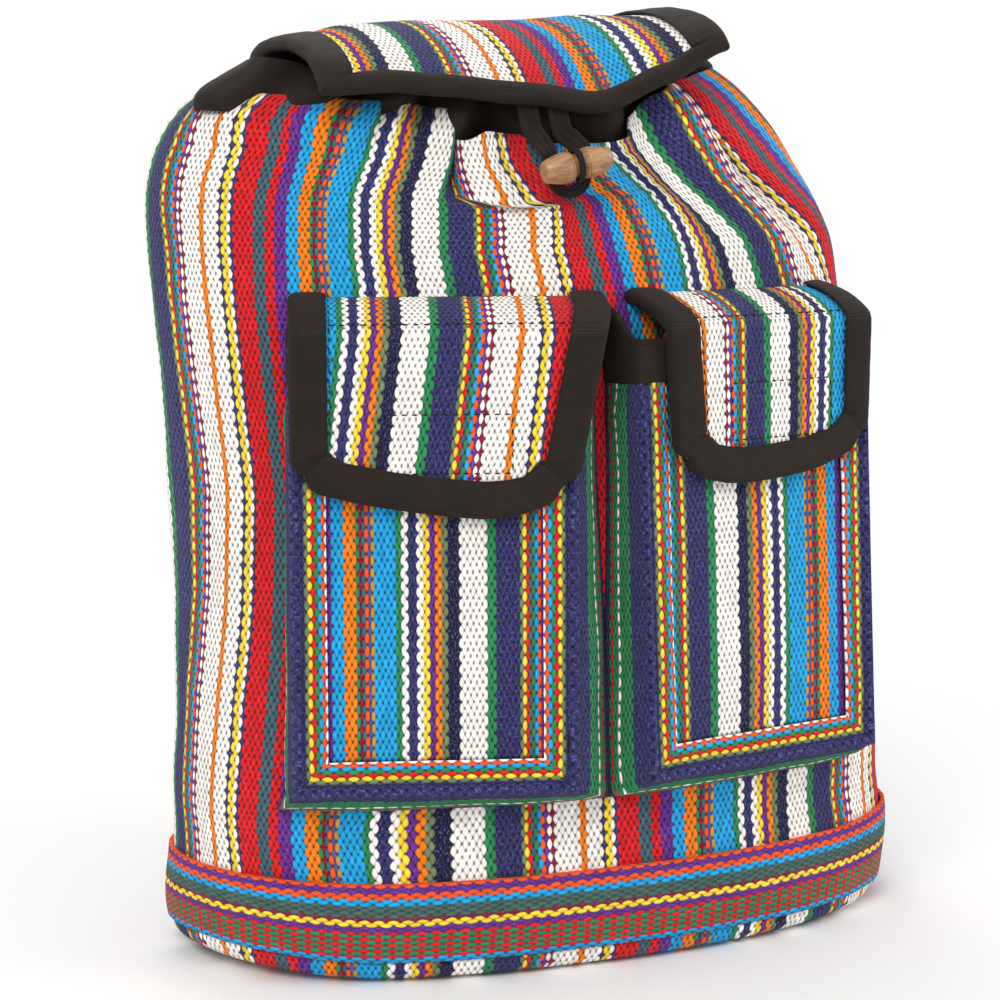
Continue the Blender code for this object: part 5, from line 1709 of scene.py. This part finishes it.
def strap_hardware(side):
    """Short tape, threaded webbing and the slide's finish."""
    name = SIDES[side]
    *_, before, end = strap_route(side)
    down = (end - before).normalized()
    across, out = lie_of(down)
    bars = [end + down * (0.0100 + BUCKLE_PITCH * i) for i in range(3)]
    radius = BAR / 2 * BAR_CORNER + GAP + WEB_THICK / 2

    def turn_round(centre, start, stop):
        """Sixteen steps round a bar, in degrees from down towards out."""
        angles = [math.radians(start + (stop - start) * i / 16) for i in range(17)]
        return [centre + (down * math.cos(a) + out * math.sin(a)) * radius for a in angles]

    tab = [end - down * 0.002 + out * 0.0014, end + down * (GAP + 0.0002) + out * 0.0013,
           bars[0] + out * radius - down * 0.003]
    tab += turn_round(bars[0], 90, -90)
    tab += [bars[0] - out * radius - down * 0.003, end + down * (GAP + 0.0002) - out * 0.0013,
            end - down * 0.002 - out * 0.0014]
    web_piece(f"{name}_slide_tab", tab, WEB_WIDTH, across, f"{name}_buckle_tab")

    foot_x = side * WEB_FOOT_X
    foot = Vector((foot_x, back_y(foot_x, WEB_FOOT_Z) + 0.0012, WEB_FOOT_Z))
    low_in, low_out = bars[2] - out * (radius + 0.0002), bars[2] + out * (radius + 0.0002)
    goal = low_in + down * 0.006
    far = goal.y - back_y(goal.x, goal.z)
    rise, wide = [], []
    for i in range(25):
        t = i / 24
        p = foot.lerp(goal, t)
        rise.append(Vector((p.x, back_y(p.x, p.z) + 0.0014 + (far - 0.0014) * t * t, p.z)))
        lie = Vector((0.008, back_y(p.x + 0.004, p.z) - back_y(p.x - 0.004, p.z), 0.0))
        wide.append(lie.normalized().lerp(across, smooth_step(t)).normalized())
    path = rise + [low_in] + turn_round(bars[1], -90, -270)
    path += [low_out, low_out + down * 0.006, low_out + down * 0.013 + out * 0.0007,
             low_out + down * 0.020 + out * 0.001, low_out + down * 0.034 + out * 0.0005]
    wide += [across] * (len(path) - len(wide))
    web_piece(f"{name}_webbing", path, WEB_WIDTH - 0.001, lambda i: wide[i],
              f"{name}_lower_webbing")
    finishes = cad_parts[f"{name}_strap_buckle"].data.materials
    finishes.clear()
    finishes.append(PLASTIC)

    def place(s, t):
        x, z, w = curve_through(ANCHOR_ROWS, t)
        px = side * x + w * (0.5 - s)
        puff = 0.0006 * math.sin(math.pi * s) * math.sin(math.pi * t)
        return Vector((px, back_y(px, z) + 0.0050 + puff, z))

    sheet_piece(f"{name}_anchor_cloth", 20, 10, place,
                lambda s, t, face: ((40 + s * 34) * WARP_PITCH, t * 0.018), COTTON,
                [f"{name}_anchor_tab"], 0.0013)


for side in (-1, 1):
    print(strap_piece(side).name)
    strap_hardware(side)

# %% [markdown]
# ## Haul loop
# The loop between the straps is rolled tape with one fold. It hangs from two points close
# together under the flap's seam.

# %% Make the haul loop
HAUL_TOP_Z, HAUL_DROP, HAUL_HALF = 0.3140, 0.036, 0.009
HAUL_STEPS = 60


def haul_piece():
    """Rolled tape that hangs from two points and stands off the back."""
    path = []
    for i in range(HAUL_STEPS + 1):
        a = math.pi * i / HAUL_STEPS
        x = STRAP_TOP_X - HAUL_HALF * math.cos(a)
        drop = math.sin(a) ** 0.8 if 0 < i < HAUL_STEPS else 0.0
        z = HAUL_TOP_Z - HAUL_DROP * drop
        path.append(Vector((x, back_y(x, z) + 0.0026 + 0.0090 * drop, z)))
    return tube_grid("haul_loop_tape", path, lambda s: rounded_tape(0.0074, 0.0042, (0.5,)),
                     DARK_TAPE, ["haul_loop"], lambda i: ahead_at(path, i).cross(Vector((0, 1, 0))))


print(haul_piece().name)


def cloth_area(name):
    return sum(face.area for face in DONE[name].data.polygons)


STRIPS = (   # piece, length it was cut to, how it is held, what it rests on
    ("gathered_neck", GIRTH, "gathered", ["body_wrap", "back_panel"]),
    ("foot_band", ring(RIM_HEIGHT)[2][-1], "stretched", ["body_wrap", "back_panel"]),
    *[(f"{side}_pocket_panel", POCKET_WIDTH - 2 * FRAME_WIDTH, "stretched",
       [f"{side}_pocket_gusset"]) for side in SIDES.values()],
)
for name, length, held, under in STRIPS:
    cloth_area(name) / length
    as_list(under)

SHAPED = (   # piece, the rectangle it was cut from, how it is held, what it rests on, its tape
    ("base_cloth", (0.360, 0.200), "stretched", ["base_band"], []),
    *[(f"{side}_pocket_frame", (0.470, 0.065), "folded", ["body_wrap"],
       [f"{side}_mouth_binding"]) for side in SIDES.values()],
    ("left_flap_cloth", (0.120, 0.115), "draped", ["body_wrap"], ["left_flap_tape"]),
    ("right_flap_cloth", (0.106, 0.115), "draped", ["body_wrap"], ["right_flap_tape"]),
    *[(f"{side}_anchor_cloth", (0.043, 0.020), "stretched", [f"{side}_lower_webbing"], [])
      for side in SIDES.values()],
)
for name, flat, held, under, tapes in SHAPED:
    area = cloth_area(name)
    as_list(under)
    print(name, "share of its rectangle:", round(area / (flat[0] * flat[1]), 2))

# %% [markdown]
# ## Lamps
# Three wide lamps light the bag: a warm one from the front left, where the photo's light
# comes from, and two weaker ones from the right and from behind.

# %% Light the scene
LAMPS = (   # place, width, power, colour
    ((-1.30, -1.60, 1.70), 1.0, 27.0, (1.0, 0.98, 0.95)),
    ((1.60, -1.10, 1.10), 1.0, 9.0, (0.96, 0.98, 1.0)),
    ((0.10, 1.60, 1.60), 1.0, 8.0, (1.0, 1.0, 1.0)),
)
AIM = Vector((0.0, 0.0, 0.18))

for i, (at, size, power, colour) in enumerate(LAMPS):
    data = bpy.data.lights.new(f"lamp_{i}", "AREA")
    data.size, data.energy, data.color = size, power, colour
    lamp = bpy.data.objects.new(f"lamp_{i}", data)
    lamp.location = at
    lamp.rotation_euler = (AIM - Vector(at)).to_track_quat("-Z", "Y").to_euler()
    bpy.context.scene.collection.objects.link(lamp)
print("lamps:", len(LAMPS))

# %% [markdown]
# ## Floor and world
# The photo has a plain white ground. The floor is pale and takes the shadow near the bag,
# and further out it fades into plain white light. The world looks white to the camera
# and in reflections, and is a little dimmer as a lamp.

# %% Lay the floor and light the world
WORLD_LIGHT = 0.80
FLOOR_SHADOW = (0.16, 0.60)  # the floor takes the shadow within the first, is white past the second

bm = bmesh.new()
bmesh.ops.create_grid(bm, x_segments=1, y_segments=1, size=6.0)
floor_mesh = bpy.data.meshes.new("floor")
bm.to_mesh(floor_mesh)
bm.free()
floor = bpy.data.objects.new("floor", floor_mesh)
bpy.context.scene.collection.objects.link(floor)

paint, tree, shader = new_material("pale_floor", 1.0, shine=0.0)
shader.inputs["Base Color"].default_value = (0.90, 0.90, 0.90, 1.0)
place = object_place(tree)
far = place.node("VectorMath", {"operation": "LENGTH"}, {0: place}, 1)
fade = ramped(far, *FLOOR_SHADOW, 0.0, 1.0)
glow = tree.nodes.new("ShaderNodeEmission")
blend = tree.nodes.new("ShaderNodeMixShader")
plug(tree, fade, blend.inputs[0])
tree.links.new(shader.outputs[0], blend.inputs[1])
tree.links.new(glow.outputs[0], blend.inputs[2])
tree.links.new(blend.outputs[0], tree.nodes["Material Output"].inputs["Surface"])
floor_mesh.materials.append(paint)

world = bpy.data.worlds.new("studio")
bpy.context.scene.world = world
world.use_nodes = True
tree = world.node_tree
rays, background = tree.nodes.new("ShaderNodeLightPath"), tree.nodes["Background"]
camera_ray, glossy, through = [Wire(tree, rays.outputs[f"Is {kind} Ray"])
                               for kind in ("Camera", "Glossy", "Transmission")]
seen = camera_ray.math("MAXIMUM", glossy).math("MAXIMUM", through)
background.inputs["Color"].default_value = (1.0, 1.0, 1.0, 1.0)
plug(tree, WORLD_LIGHT + seen * (1.0 - WORLD_LIGHT), background.inputs["Strength"])
bpy.context.scene.view_settings.view_transform = "Standard"
print("floor and world ready")
